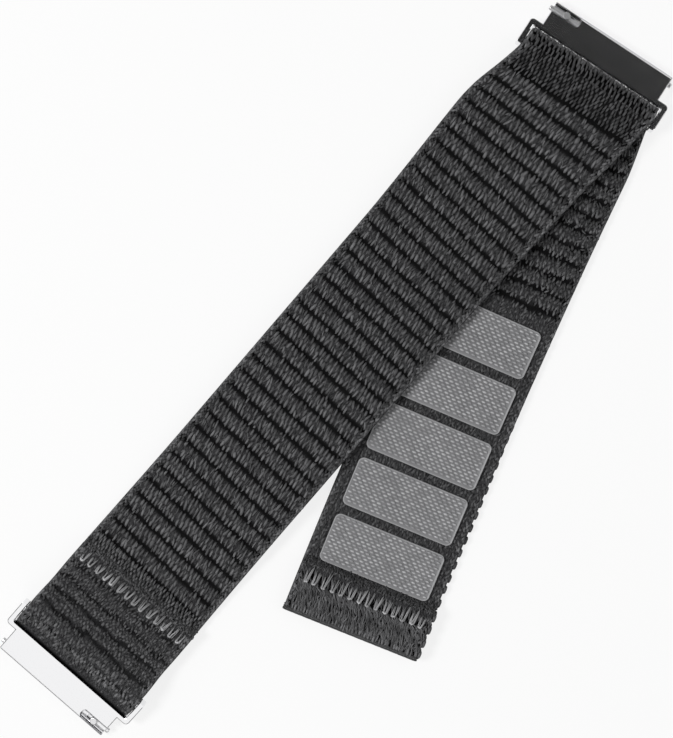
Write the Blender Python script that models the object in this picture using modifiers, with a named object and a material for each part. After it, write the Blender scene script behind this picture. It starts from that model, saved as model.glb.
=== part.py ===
"""Nylon hook and loop watch strap with two steel quick release lug adapters.

One woven strip makes the whole strap.  Its sewn end wraps the rear bar of one adapter and is
stitched back on itself.  Its main run passes over the rear bar of the other adapter, turns down
through the slot and comes back beneath as the tail, which carries five hook pads and ends in a
stitched hem.  Each adapter has a bore for a spring bar with a thumb knob in an open notch.

Frame: +X runs along the main run to the loop end, +Y to the side of the loop end's notch, +Z up.
The strap lies on the plane z = 0 with its skin side up, and the origin is on that plane below
the middle of the whole strap.  Lengths are in metres.
"""
import math

import bmesh
import bpy
from mathutils import Matrix, Vector

# Webbing
WEBBING_THICKNESS = 0.0015
MAIN_LENGTH = 0.1272
SLOT_END_WIDTH = 0.0233
MAIN_MIDDLE_WIDTH = 0.0229
LOOP_BULGE_WIDTH = 0.0014
SEWN_BULGE_WIDTH = 0.0005
BULGE_FROM_BAR = 0.0110
BULGE_FADE_LENGTH = 0.0290
MAIN_SIDE_SHIFT = 0.00135
MAIN_SHIFT_FADE_LENGTH = 0.0150
TAIL_LENGTH = 0.0984
TAIL_END_WIDTH = 0.0230
TAIL_SIDE_SHIFT = -0.0008
TAIL_SHIFT_FADE_LENGTH = 0.0120
SELVEDGE_ROUNDING = 0.0004
SEAM_GAP = 0.0001
FOLD_SKEW_DEGREES = 8.0
TAIL_TURN_DEGREES = 3.6
SKEW_FADE_LENGTH = 0.030

# Sewn end and hem
FLAP_LENGTH = 0.0168
FLAP_DROP_START = 0.0012
FLAP_DROP_LENGTH = 0.0070
LAYER_GAP = 0.0001
HEM_LENGTH = 0.0085
HEM_INSIDE_GAP = 0.0002

# How the main run lies on the tail, measured back from the loop bar
DROP_FROM_BAR_LENGTH = 0.0180
OVER_PADS_LENGTH = 0.0790
FLAT_AT_SEWN_BAR_LENGTH = 0.0178
GAP_OVER_PADS = 0.0002

# Hook pads
PAD_COUNT = 5
PAD_LENGTH = 0.0082
PAD_WIDTH = 0.0189
PAD_THICKNESS = 0.00035
PAD_CORNER_RADIUS = 0.0010
PAD_EDGE_ROUNDING = 0.00008
PAD_PITCH = 0.00977
PAD_SIDE_SHIFT = -0.0002
PADS_TO_HEM_GAP = 0.0011
PAD_SEAT_GAP = 0.00005

# Zigzag stitches
THREAD_RADIUS = 0.00018
THREAD_SEAT_GAP = 0.00004
STITCH_COUNT = 14
STITCH_DEPTH = 0.0025
STITCH_SIDE_MARGIN = 0.0009
STITCH_END_MARGIN = 0.00025

# Lug adapter: the slot frame, its rear bar and the plate with the spring bar's bore
BAR_RADIUS = 0.00075
WRAP_GAP = 0.0001
ARM_CLEARANCE = 0.0002
ARM_WIDTH = 0.00095
ARM_PAST_BAR = 0.00040
ARM_END_RADIUS = 0.00030
SHOULDER_RADIUS = 0.00070
SLOT_FRONT_GAP = 0.0003
FRONT_RAIL_DEPTH = 0.0008
PLATE_DEPTH = 0.0044
LUG_WIDTH = 0.0218
PLATE_THICKNESS = 0.0022
BORE_FROM_FRONT = 0.0012
FRONT_EDGE_ROUNDING = 0.0005
STEEL_EDGE_ROUNDING = 0.00015
NOTCH_LENGTH = 0.0050
NOTCH_WIDTH = 0.00165
NOTCH_FLOOR_HEIGHT = 0.0001

# Spring bar
BORE_RADIUS = 0.00075
TUBE_CLEARANCE = 0.00007
TUBE_WALL = 0.0002
TUBE_END_INSET = 0.0001
PIN_RADIUS = 0.00042
TIP_REACH = 0.0005
TIP_ROUNDING = 0.00015
RELEASE_TRAVEL = 0.0009
KNOB_FROM_END = 0.0025
KNOB_STEM_RADIUS = 0.0003
KNOB_HEAD_RADIUS = 0.0006
KNOB_HEAD_HEIGHT = 0.0003
KNOB_HEAD_ROUNDING = 0.0001
KNOB_CLEARANCE = 0.00006
SLOT_CLEARANCE = 0.00012
SPRING_TURNS = 8
SPRING_PITCH = 0.00062
SPRING_RADIUS = 0.00035
SPRING_WIRE_RADIUS = 0.00007
SPRING_END_GAP = 0.00005
CUT_OVERRUN = 0.0010

# Sizes that follow from those above
FOLD_SKEW = math.radians(FOLD_SKEW_DEGREES)
TAIL_TURN = math.radians(TAIL_TURN_DEGREES)
HALF_THICKNESS = WEBBING_THICKNESS / 2
WRAP_RADIUS = BAR_RADIUS + WRAP_GAP + HALF_THICKNESS
FOLD_REACH = WRAP_RADIUS + HALF_THICKNESS
BAR_HEIGHT = WEBBING_THICKNESS + WRAP_GAP + BAR_RADIUS
BAR_SPACING = MAIN_LENGTH - 2 * FOLD_REACH
SLOT_FRONT_X = FOLD_REACH + SLOT_FRONT_GAP
STEP_X = SLOT_FRONT_X + FRONT_RAIL_DEPTH
BORE_X = STEP_X + PLATE_DEPTH - BORE_FROM_FRONT
FRONT_EDGE_X = STEP_X + PLATE_DEPTH - FRONT_EDGE_ROUNDING
FRONT_EDGE_Z = PLATE_THICKNESS / 2 - FRONT_EDGE_ROUNDING
SLOT_HALF_WIDTH = SLOT_END_WIDTH / 2 / math.cos(FOLD_SKEW) + ARM_CLEARANCE
ARM_OUTER = SLOT_HALF_WIDTH + ARM_WIDTH
LUG_HALF = LUG_WIDTH / 2
FRONT_EDGE_REACH = math.hypot(FRONT_EDGE_X, FRONT_EDGE_Z)
ADAPTER_DROOP = math.asin((BAR_HEIGHT - FRONT_EDGE_ROUNDING) / FRONT_EDGE_REACH)
ADAPTER_DROOP -= math.atan2(FRONT_EDGE_Z, FRONT_EDGE_X)
TUBE_RADIUS = BORE_RADIUS - TUBE_CLEARANCE
TUBE_BORE = TUBE_RADIUS - TUBE_WALL
TUBE_HALF = LUG_HALF - TUBE_END_INSET
KNOB_Y = LUG_HALF - KNOB_FROM_END
SPRING_LENGTH = SPRING_TURNS * SPRING_PITCH + 2 * SPRING_WIRE_RADIUS
SLIDING_PIN_START = KNOB_Y - RELEASE_TRAVEL - KNOB_HEAD_RADIUS - SPRING_END_GAP
FIXED_PIN_END = SLIDING_PIN_START - SPRING_LENGTH - 2 * SPRING_END_GAP
TAIL_FROM_BAR = TAIL_LENGTH - FOLD_REACH
HEM_BEND_RADIUS = HALF_THICKNESS + HEM_INSIDE_GAP / 2
HEM_BEND_S = TAIL_FROM_BAR - HEM_BEND_RADIUS - HALF_THICKNESS
HEM_TOP = 2 * HEM_BEND_RADIUS + WEBBING_THICKNESS
FLAP_TOP = 2 * WEBBING_THICKNESS + LAYER_GAP

LOOP_AXIS = Vector((BAR_SPACING / 2, 0, BAR_HEIGHT))
SEWN_AXIS = Vector((-BAR_SPACING / 2, 0, BAR_HEIGHT))

NYLON = ((0.055, 0.057, 0.062, 1), 0.85, 0)
HOOK_TAPE = ((0.30, 0.30, 0.31, 1), 0.6, 0)
THREAD = ((0.28, 0.28, 0.30, 1), 0.6, 0)
STEEL = ((0.62, 0.62, 0.63, 1), 0.22, 1)


def start_empty_scene():
    """Remove what a new file holds and make the collection for the strap's pieces."""
    for old in list(bpy.data.objects):
        bpy.data.objects.remove(old, do_unlink=True)
    parts = bpy.data.collections.new("watch_strap")
    bpy.context.scene.collection.children.link(parts)
    return parts


PARTS = start_empty_scene()


def material(name, look):
    """A Principled material from a look: base colour, roughness and metallic value."""
    colour, roughness, metallic = look
    made = bpy.data.materials.new(name + "_material")
    made.use_nodes = True
    shader = made.node_tree.nodes["Principled BSDF"]
    shader.inputs["Base Color"].default_value = colour
    shader.inputs["Roughness"].default_value = roughness
    shader.inputs["Metallic"].default_value = metallic
    return made


def add_piece(name, mesh, look, parent, location=(0, 0, 0), rotation=(0, 0, 0)):
    """Put a mesh in the strap's collection as a named piece with its own material."""
    piece = bpy.data.objects.new(name, mesh)
    PARTS.objects.link(piece)
    piece.parent = parent
    piece.location = location
    piece.rotation_euler = rotation
    if not mesh.materials:
        mesh.materials.append(None)
    piece.material_slots[0].link = "OBJECT"
    piece.material_slots[0].material = material(name, look)
    return piece


def add_axis(name, parent, location=(0, 0, 0), rotation=(0, 0, 0)):
    """An empty that stands on a joint's axis and carries the pieces that turn with it."""
    axis = bpy.data.objects.new(name, None)
    axis.empty_display_size = BAR_RADIUS
    PARTS.objects.link(axis)
    axis.parent = parent
    axis.location = location
    axis.rotation_euler = rotation
    return axis


def work_object(mesh_or_curve):
    """A temporary object that carries a shape through its modifiers."""
    made = bpy.data.objects.new("work", mesh_or_curve)
    PARTS.objects.link(made)
    return made


def finish(work, name, smooth_degrees=35):
    """Evaluate a temporary object to a clean mesh in its parent frame and remove the object."""
    bpy.context.view_layer.update()
    graph = bpy.context.evaluated_depsgraph_get()
    mesh = bpy.data.meshes.new_from_object(work.evaluated_get(graph))
    mesh.transform(work.matrix_world)
    mesh.name = name
    bm = bmesh.new()
    bm.from_mesh(mesh)
    bmesh.ops.remove_doubles(bm, verts=bm.verts, dist=SEAM_GAP / 100)
    bmesh.ops.recalc_face_normals(bm, faces=bm.faces)
    bm.to_mesh(mesh)
    bm.free()
    bpy.data.objects.remove(work, do_unlink=True)
    mesh.shade_smooth()
    mesh.set_sharp_from_angle(angle=math.radians(smooth_degrees))
    return mesh


def combine(target, other, operation):
    """Join another temporary solid to the target or cut it away, and return the new target."""
    boolean = target.modifiers.new("combine", "BOOLEAN")
    boolean.operation = operation
    boolean.object = other
    mesh = finish(target, "combined")
    bpy.data.objects.remove(other, do_unlink=True)
    return work_object(mesh)


def bevel_edges(work, width, segments=2, degrees=40):
    """Round the edges that are sharper than an angle."""
    bevel = work.modifiers.new("edges", "BEVEL")
    bevel.width = width
    bevel.segments = segments
    bevel.limit_method = "ANGLE"
    bevel.angle_limit = math.radians(degrees)
    bevel.use_clamp_overlap = False


def rod(radius, length, sides=32):
    """A solid cylinder along Y, centred on the origin."""
    bm = bmesh.new()
    bmesh.ops.create_cone(
        bm, cap_ends=True, segments=sides, radius1=radius, radius2=radius, depth=length,
        matrix=Matrix.Rotation(math.pi / 2, 4, "X"),
    )
    mesh = bpy.data.meshes.new("rod")
    bm.to_mesh(mesh)
    bm.free()
    return work_object(mesh)


def rounded_outline(corners, arc_points=5):
    """Points of a closed outline whose corners, given as (x, y, radius), are rounded."""
    points = []
    for index, (x, y, radius) in enumerate(corners):
        here = Vector((x, y))
        if radius == 0:
            points.append(here)
            continue
        before = (Vector(corners[index - 1][:2]) - here).normalized()
        after = (Vector(corners[(index + 1) % len(corners)][:2]) - here).normalized()
        half_angle = before.angle(after) / 2
        reach = radius / math.tan(half_angle)
        centre = here + (before + after).normalized() * (radius / math.sin(half_angle))
        start = here + before * reach - centre
        sweep = start.angle_signed(here + after * reach - centre)
        for step in range(arc_points):
            turn = Matrix.Rotation(-sweep * step / (arc_points - 1), 2)
            points.append(centre + turn @ start)
    return points


def slab(outlines, thickness):
    """A flat plate: a 2D curve filled on both sides and extruded, centred on z = 0.

    The first outline is the plate's edge and any others are holes in it.
    """
    curve = bpy.data.curves.new("outline", "CURVE")
    curve.dimensions = "2D"
    curve.fill_mode = "BOTH"
    curve.extrude = thickness / 2
    for points in outlines:
        spline = curve.splines.new("POLY")
        spline.points.add(len(points) - 1)
        for target, point in zip(spline.points, points):
            target.co = (point[0], point[1], 0, 1)
        spline.use_cyclic_u = True
    return work_object(finish(work_object(curve), "slab"))


def merge_flat_faces(work, degrees=1):
    """Merge the faces that lie in one plane, so that a bevel along their edges runs true."""
    bm = bmesh.new()
    bm.from_mesh(work.data)
    bmesh.ops.dissolve_limit(bm, angle_limit=math.radians(degrees), verts=bm.verts, edges=bm.edges)
    bm.to_mesh(work.data)
    bm.free()


def arc(x, y, radius, start, end, count):
    """Points along an arc round (x, y), from one angle to another."""
    return [(x + radius * math.cos(turn), y + radius * math.sin(turn)) for turn in spread(start, end, count)]


def turned(name, profile, sides=24):
    """A solid of revolution about Z from a profile of (radius, height) points."""
    mesh = bpy.data.meshes.new(name)
    bm = bmesh.new()
    verts = [bm.verts.new((radius, 0, height)) for radius, height in profile]
    for first, second in zip(verts, verts[1:]):
        bm.edges.new((first, second))
    if profile[0][0] > 0:
        bm.edges.new((verts[-1], verts[0]))
    bm.to_mesh(mesh)
    bm.free()
    work = work_object(mesh)
    screw = work.modifiers.new("turn", "SCREW")
    screw.steps = sides
    screw.render_steps = sides
    screw.use_merge_vertices = True
    screw.merge_threshold = SEAM_GAP / 100
    return finish(work, name)


def tube_along(name, points, radius, resolution=1):
    """A round thread or wire through a list of points."""
    curve = bpy.data.curves.new(name, "CURVE")
    curve.dimensions = "3D"
    curve.bevel_depth = radius
    curve.bevel_resolution = resolution
    curve.use_fill_caps = True
    spline = curve.splines.new("POLY")
    spline.points.add(len(points) - 1)
    for target, point in zip(spline.points, points):
        target.co = (*point, 1)
    return finish(work_object(curve), name)


def strip_mesh(name, rows, place, origin, columns=6):
    """Webbing: an open grid placed row by row, thickened to the webbing and rounded at its edges.

    place(row, side) gives the middle of the webbing in the strap's frame, where row counts
    along it and side runs from -1 to 1 across it.
    """
    bm = bmesh.new()
    bmesh.ops.create_grid(bm, x_segments=rows - 1, y_segments=columns, size=1)
    for vert in bm.verts:
        row = round((vert.co.x + 1) / 2 * (rows - 1))
        vert.co = place(row, vert.co.y) - origin
    mesh = bpy.data.meshes.new(name)
    bm.to_mesh(mesh)
    bm.free()
    work = work_object(mesh)
    thicken = work.modifiers.new("thickness", "SOLIDIFY")
    thicken.thickness = WEBBING_THICKNESS
    thicken.offset = 0
    thicken.use_even_offset = True
    bevel_edges(work, SELVEDGE_ROUNDING)
    return finish(work, name)


def smooth_step(value, start, end):
    """0 before start, 1 after end and a smooth rise between."""
    share = min(max((value - start) / (end - start), 0), 1)
    return share * share * (3 - 2 * share)


def spread(start, end, count):
    """Evenly spaced values from start to end."""
    return [start + (end - start) * step / (count - 1) for step in range(count)]


def main_height(x):
    """Middle height of the main run: over the loop bar, on the tail's pads, then on the surface."""
    from_bar = LOOP_AXIS.x - x
    top = BAR_HEIGHT + WRAP_RADIUS
    on_tail = WEBBING_THICKNESS + PAD_SEAT_GAP + PAD_THICKNESS + GAP_OVER_PADS + HALF_THICKNESS
    first = smooth_step(from_bar, 0, DROP_FROM_BAR_LENGTH)
    second = smooth_step(from_bar, OVER_PADS_LENGTH, BAR_SPACING - FLAT_AT_SEWN_BAR_LENGTH)
    return top - first * (top - on_tail) - second * (on_tail - HALF_THICKNESS)


def main_half_width(x):
    """Half the webbing's width: held by the slots at both bars and bulging just behind them."""
    end_share = min(abs(x) / LOOP_AXIS.x, 1) ** 4
    width = MAIN_MIDDLE_WIDTH + (SLOT_END_WIDTH - MAIN_MIDDLE_WIDTH) * end_share
    from_bar = LOOP_AXIS.x - abs(x)
    bulge_share = smooth_step(from_bar, 0, BULGE_FROM_BAR)
    bulge_share -= smooth_step(from_bar, BULGE_FROM_BAR, BULGE_FROM_BAR + BULGE_FADE_LENGTH)
    return (width + bulge_share * (LOOP_BULGE_WIDTH if x > 0 else SEWN_BULGE_WIDTH)) / 2


def main_middle(x):
    """How far the webbing's middle lies to the +Y side: more towards the loop bar, nothing at it."""
    run_share = (x - SEWN_AXIS.x) / BAR_SPACING
    return MAIN_SIDE_SHIFT * run_share * (1 - smooth_step(x, LOOP_AXIS.x - MAIN_SHIFT_FADE_LENGTH, LOOP_AXIS.x))


def main_path():
    """Middle line of the flap, the sewn fold and the main run, as (x, z) pairs."""
    path = []
    flap_end = SEWN_AXIS.x - FOLD_REACH + FLAP_LENGTH
    high = BAR_HEIGHT + WRAP_RADIUS
    low = FLAP_TOP - HALF_THICKNESS
    for x in spread(flap_end, SEWN_AXIS.x, 16)[:-1]:
        drop = smooth_step(x - SEWN_AXIS.x, FLAP_DROP_START, FLAP_DROP_START + FLAP_DROP_LENGTH)
        path.append((x, high - drop * (high - low)))
    for turn in spread(math.pi / 2, 3 * math.pi / 2, 13):
        path.append((SEWN_AXIS.x + WRAP_RADIUS * math.cos(turn), BAR_HEIGHT + WRAP_RADIUS * math.sin(turn)))
    for x in spread(SEWN_AXIS.x, LOOP_AXIS.x - SEAM_GAP, 50)[1:]:
        path.append((x, main_height(x)))
    return path


def make_main(root):
    """The main run with its sewn fold and flap, cut along the loop bar's axis at its other end."""
    path = main_path()

    def place(row, side):
        x, z = path[row]
        y = main_middle(x) + side * main_half_width(x)
        skew = smooth_step(x, LOOP_AXIS.x - SKEW_FADE_LENGTH, LOOP_AXIS.x)
        return Vector((x - y * math.tan(FOLD_SKEW) * skew, y, z))

    mesh = strip_mesh("webbing_main", len(path), place, Vector())
    return add_piece("webbing_main", mesh, NYLON, root)


def make_bend(root):
    """The turn round the loop bar that joins the main run to the tail."""
    turns = spread(math.pi / 2, -math.pi / 2, 13)
    out = Vector((math.cos(FOLD_SKEW), math.sin(FOLD_SKEW), 0))
    along = Vector((-math.sin(FOLD_SKEW), math.cos(FOLD_SKEW), 0))

    def place(row, side):
        across = along * side * SLOT_END_WIDTH / 2 / math.cos(FOLD_SKEW)
        arm = out * math.cos(turns[row]) + Vector((0, 0, math.sin(turns[row])))
        return LOOP_AXIS + across + arm * WRAP_RADIUS

    mesh = strip_mesh("webbing_bend", len(turns), place, LOOP_AXIS)
    return add_piece("webbing_bend", mesh, NYLON, root, LOOP_AXIS)


def tail_heading(s):
    """Direction of the tail's middle line at distance s from the loop bar."""
    return math.pi + 2 * FOLD_SKEW + TAIL_TURN * s / TAIL_FROM_BAR


def tail_point(s, across, z):
    """A point of the tail: s along its curved path, across its middle to the +Y side, at height z."""
    across = across + TAIL_SIDE_SHIFT * smooth_step(s, 0, TAIL_SHIFT_FADE_LENGTH)
    radius = TAIL_FROM_BAR / TAIL_TURN
    start = tail_heading(0)
    here = tail_heading(s)
    x = LOOP_AXIS.x + radius * (math.sin(here) - math.sin(start)) + across * math.sin(here)
    y = radius * (math.cos(start) - math.cos(here)) - across * math.cos(here)
    return Vector((x, y, z))


def tail_half_width(s):
    """Half the tail's width: that of the fold, then a little drawn in to the hem."""
    drawn_in = smooth_step(s, 0, SKEW_FADE_LENGTH)
    return (SLOT_END_WIDTH + (TAIL_END_WIDTH - SLOT_END_WIDTH) * drawn_in) / 2


def make_tail(axis):
    """The tail: flat on the surface, with its end turned up and over into a hem."""
    path = [(s, HALF_THICKNESS) for s in spread(SEAM_GAP, HEM_BEND_S, 44)[:-1]]
    for turn in spread(-math.pi / 2, math.pi / 2, 9):
        s = HEM_BEND_S + HEM_BEND_RADIUS * math.cos(turn)
        path.append((s, HALF_THICKNESS + HEM_BEND_RADIUS * (1 + math.sin(turn))))
    for s in spread(HEM_BEND_S, TAIL_FROM_BAR - HEM_LENGTH, 5)[1:]:
        path.append((s, HALF_THICKNESS + 2 * HEM_BEND_RADIUS))

    def place(row, side):
        s, z = path[row]
        across = side * tail_half_width(s)
        skew = 1 - smooth_step(s, 0, SKEW_FADE_LENGTH)
        return tail_point(s - across * math.tan(FOLD_SKEW) * skew, across, z)

    mesh = strip_mesh("webbing_tail", len(path), place, LOOP_AXIS)
    return add_piece("webbing_tail", mesh, NYLON, axis)


def make_hook_pads(axis):
    """Five pads of hook tape in a row on the tail's upper face."""
    x = PAD_LENGTH / 2
    y = PAD_WIDTH / 2
    corners = [(x, y, PAD_CORNER_RADIUS), (-x, y, PAD_CORNER_RADIUS)]
    corners += [(-x, -y, PAD_CORNER_RADIUS), (x, -y, PAD_CORNER_RADIUS)]
    work = slab([rounded_outline(corners)], PAD_THICKNESS)
    merge_flat_faces(work)
    bevel_edges(work, PAD_EDGE_ROUNDING, 1, 60)
    mesh = finish(work, "hook_pad")
    height = WEBBING_THICKNESS + PAD_SEAT_GAP + PAD_THICKNESS / 2
    last_pad = TAIL_FROM_BAR - HEM_LENGTH - PADS_TO_HEM_GAP - PAD_LENGTH / 2
    for index in range(PAD_COUNT):
        s = last_pad - PAD_PITCH * (PAD_COUNT - 1 - index)
        place = tail_point(s, PAD_SIDE_SHIFT, height) - LOOP_AXIS
        turn = (0, 0, tail_heading(s) - math.pi)
        add_piece(f"hook_pad_{index + 1}", mesh, HOOK_TAPE, axis, place, turn)


def zigzag(start, depth, half_width, place):
    """Points of a zigzag thread with rounded turns, from one selvedge to the other.

    The thread swings between start and start + depth while it crosses the webbing.
    """
    points = []
    steps_per_stitch = 6
    count = STITCH_COUNT * steps_per_stitch
    reach = half_width - STITCH_SIDE_MARGIN
    for step in range(count + 1):
        swing_share = (1 - math.cos(2 * math.pi * step / steps_per_stitch)) / 2
        across = -reach + 2 * reach * step / count
        points.append(place(start + depth * swing_share, across))
    return points


def make_stitches(root, tail_axis):
    """The zigzag rows that hold down the flap and the hem."""
    lift = THREAD_SEAT_GAP + THREAD_RADIUS
    flap_end = SEWN_AXIS.x - FOLD_REACH + FLAP_LENGTH
    start = flap_end - STITCH_END_MARGIN - STITCH_DEPTH

    def on_flap(x, across):
        return Vector((x, main_middle(x) + across, FLAP_TOP + lift))

    points = zigzag(start, STITCH_DEPTH, main_half_width(start), on_flap)
    mesh = tube_along("anchor_stitch", points, THREAD_RADIUS)
    add_piece("anchor_stitch", mesh, THREAD, root)

    start = TAIL_FROM_BAR - HEM_LENGTH + STITCH_END_MARGIN

    def on_hem(s, across):
        return tail_point(s, across, HEM_TOP + lift) - LOOP_AXIS

    points = zigzag(start, STITCH_DEPTH, tail_half_width(start), on_hem)
    mesh = tube_along("hem_stitch", points, THREAD_RADIUS)
    add_piece("hem_stitch", mesh, THREAD, tail_axis)


def adapter_mesh():
    """Lug adapter round its rear bar's axis: slot frame, plate, spring bar bore and notch.

    Its body is where a side profile drawn through the plate, bore included, meets the outline
    seen from above.
    """
    back = -BAR_RADIUS - ARM_PAST_BAR
    top = PLATE_THICKNESS / 2
    front_edge = arc(FRONT_EDGE_X, -FRONT_EDGE_Z, FRONT_EDGE_ROUNDING, -math.pi / 2, 0, 7)
    front_edge += arc(FRONT_EDGE_X, FRONT_EDGE_Z, FRONT_EDGE_ROUNDING, 0, math.pi / 2, 7)
    side = [(back - CUT_OVERRUN, top), (back - CUT_OVERRUN, -top)] + front_edge
    bore = arc(BORE_X, 0, BORE_RADIUS, 0, 2 * math.pi, 29)[:-1]
    profile = slab([side, bore], 2 * (ARM_OUTER + CUT_OVERRUN))
    profile.rotation_euler.x = math.pi / 2
    profile = work_object(finish(profile, "profile"))

    front = STEP_X + PLATE_DEPTH + CUT_OVERRUN
    half = [
        (front, LUG_HALF, 0),
        (STEP_X, LUG_HALF, 0),
        (STEP_X, ARM_OUTER, SHOULDER_RADIUS),
        (back, ARM_OUTER, ARM_END_RADIUS),
        (back, SLOT_HALF_WIDTH, 0),
        (SLOT_FRONT_X, SLOT_HALF_WIDTH, ARM_END_RADIUS),
    ]
    corners = half + [(x, -y, radius) for x, y, radius in reversed(half)]
    outline = slab([rounded_outline(corners)], PLATE_THICKNESS + 2 * CUT_OVERRUN)
    body = combine(profile, outline, "INTERSECT")
    merge_flat_faces(body)
    bevel_edges(body, STEEL_EDGE_ROUNDING)
    body = work_object(finish(body, "body"))

    body = combine(body, rod(BAR_RADIUS, 2 * SLOT_HALF_WIDTH + ARM_WIDTH, 28), "UNION")

    x = NOTCH_WIDTH / 2
    inner_end = LUG_HALF - NOTCH_LENGTH
    outer_end = LUG_HALF + CUT_OVERRUN
    round_end = x * 2 / 3
    corners = [(-x, outer_end, 0), (-x, inner_end, round_end), (x, inner_end, round_end), (x, outer_end, 0)]
    notch = slab([rounded_outline(corners, 7)], top + CUT_OVERRUN)
    notch.location = (BORE_X, 0, NOTCH_FLOOR_HEIGHT + (top + CUT_OVERRUN) / 2)
    body = combine(body, notch, "DIFFERENCE")
    return finish(body, "lug_adapter")


def bar_tube_mesh():
    """The spring bar's tube along Y, with a slot on top that the release knob's stem slides in."""
    profile = [(TUBE_RADIUS, TUBE_HALF), (TUBE_RADIUS, -TUBE_HALF)]
    profile += [(TUBE_BORE, -TUBE_HALF), (TUBE_BORE, TUBE_HALF)]
    tube = work_object(turned("tube", profile, 28))
    tube.rotation_euler.x = math.pi / 2
    tube = work_object(finish(tube, "tube"))
    x = KNOB_STEM_RADIUS + SLOT_CLEARANCE
    near = KNOB_Y - RELEASE_TRAVEL - x
    far = KNOB_Y + x
    corners = [(-x, near, x * 2 / 3), (x, near, x * 2 / 3), (x, far, x * 2 / 3), (-x, far, x * 2 / 3)]
    slot = slab([rounded_outline(corners, 4)], 2 * TUBE_RADIUS)
    slot.location.z = TUBE_RADIUS
    return finish(combine(tube, slot, "DIFFERENCE"), "bar_tube")


def pin_mesh(name, inner_end, tip_end):
    """A spring bar pin along Y from its flat inner end to its rounded tip."""
    length = abs(tip_end - inner_end)
    edge = PIN_RADIUS - TIP_ROUNDING
    profile = [(0, length), (edge, length)]
    for turn in spread(math.pi / 2, 0, 4)[1:]:
        profile.append((edge + TIP_ROUNDING * math.cos(turn), length - TIP_ROUNDING * (1 - math.sin(turn))))
    profile += [(PIN_RADIUS, 0), (0, 0)]
    pin = work_object(turned(name, profile, 20))
    pin.rotation_euler.x = -math.pi / 2 if tip_end > inner_end else math.pi / 2
    pin.location.y = inner_end
    return finish(pin, name)


def knob_mesh():
    """The release knob round its own vertical axis: a stem through the tube's slot and a domed head."""
    bottom = PIN_RADIUS + KNOB_CLEARANCE
    head_bottom = TUBE_RADIUS + KNOB_CLEARANCE
    top = head_bottom + KNOB_HEAD_HEIGHT
    edge = KNOB_HEAD_RADIUS - KNOB_HEAD_ROUNDING
    profile = [(0, top), (edge, top)]
    for turn in spread(math.pi / 2, 0, 4)[1:]:
        height = top - KNOB_HEAD_ROUNDING * (1 - math.sin(turn))
        profile.append((edge + KNOB_HEAD_ROUNDING * math.cos(turn), height))
    profile += [(KNOB_HEAD_RADIUS, head_bottom), (KNOB_STEM_RADIUS, head_bottom)]
    profile += [(KNOB_STEM_RADIUS, bottom), (0, bottom)]
    return turned("release_knob", profile, 24)


def spring_mesh():
    """The coil spring along Y between the two pins, wound as one helix."""
    points_per_turn = 10
    first = FIXED_PIN_END + SPRING_END_GAP + SPRING_WIRE_RADIUS
    points = []
    for step in range(SPRING_TURNS * points_per_turn + 1):
        angle = 2 * math.pi * step / points_per_turn
        rise = SPRING_PITCH * step / points_per_turn
        points.append((SPRING_RADIUS * math.cos(angle), first + rise, SPRING_RADIUS * math.sin(angle)))
    lead = math.atan2(SPRING_PITCH, 2 * math.pi * SPRING_RADIUS)
    gap = SPRING_PITCH * math.cos(lead) - 2 * SPRING_WIRE_RADIUS
    print(f"spring winding: least gap to itself {gap * 1000:.2f} mm")
    return tube_along("bar_spring", points, SPRING_WIRE_RADIUS)


def shared_adapter_meshes():
    """The meshes that both adapters use."""
    tip = LUG_HALF + TIP_REACH
    return {
        "adapter": adapter_mesh(),
        "bar_tube": bar_tube_mesh(),
        "fixed_pin": pin_mesh("fixed_pin", FIXED_PIN_END, -tip),
        "sliding_pin": pin_mesh("sliding_pin", SLIDING_PIN_START, tip),
        "release_knob": knob_mesh(),
        "bar_spring": spring_mesh(),
    }


def make_adapter(end, meshes, axis):
    """One lug adapter on its rear bar's axis, with its spring bar in the bore."""
    add_piece(end + "_adapter", meshes["adapter"], STEEL, axis)
    bore = add_axis(end + "_bore_axis", axis, (BORE_X, 0, 0))
    for piece in ("bar_tube", "fixed_pin", "bar_spring", "sliding_pin"):
        add_piece(f"{end}_{piece}", meshes[piece], STEEL, bore)
    add_piece(end + "_release_knob", meshes["release_knob"], STEEL, bore, (0, KNOB_Y, 0))


def stand_on_origin(root):
    """Move the whole strap so that the origin is below its middle, on the surface it lies on."""
    bpy.context.view_layer.update()
    corners = [
        piece.matrix_world @ vert.co
        for piece in PARTS.objects if piece.type == "MESH"
        for vert in piece.data.vertices
    ]
    low = Vector([min(corner[axis] for corner in corners) for axis in range(3)])
    high = Vector([max(corner[axis] for corner in corners) for axis in range(3)])
    root.location = (-(low.x + high.x) / 2, -(low.y + high.y) / 2, -low.z)
    bpy.context.view_layer.update()
    print("strap size in mm:", [round(side * 1000, 3) for side in high - low])


def print_axes():
    """Print where each joint's axis stands, in millimetres, and its direction."""
    for axis in PARTS.objects:
        if axis.type == "EMPTY":
            place = [round(value * 1000, 4) for value in axis.matrix_world.translation]
            along = [round(value, 5) for value in axis.matrix_world.to_3x3() @ Vector((0, 1, 0))]
            print(axis.name, "at", place, "mm, along", along)


def main():
    """Build every piece of the strap."""
    root = add_axis("strap_origin", None)
    make_main(root)
    make_bend(root)
    tail_axis = add_axis("tail_axis", root, LOOP_AXIS)
    make_tail(tail_axis)
    make_hook_pads(tail_axis)
    make_stitches(root, tail_axis)
    meshes = shared_adapter_meshes()
    loop_axis = add_axis("loop_adapter_axis", root, LOOP_AXIS, (0, ADAPTER_DROOP, FOLD_SKEW))
    make_adapter("loop", meshes, loop_axis)
    sewn_axis = add_axis("sewn_adapter_axis", root, SEWN_AXIS, (0, ADAPTER_DROOP, math.pi))
    make_adapter("sewn", meshes, sewn_axis)
    stand_on_origin(root)
    print_axes()


main()
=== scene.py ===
import math

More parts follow.
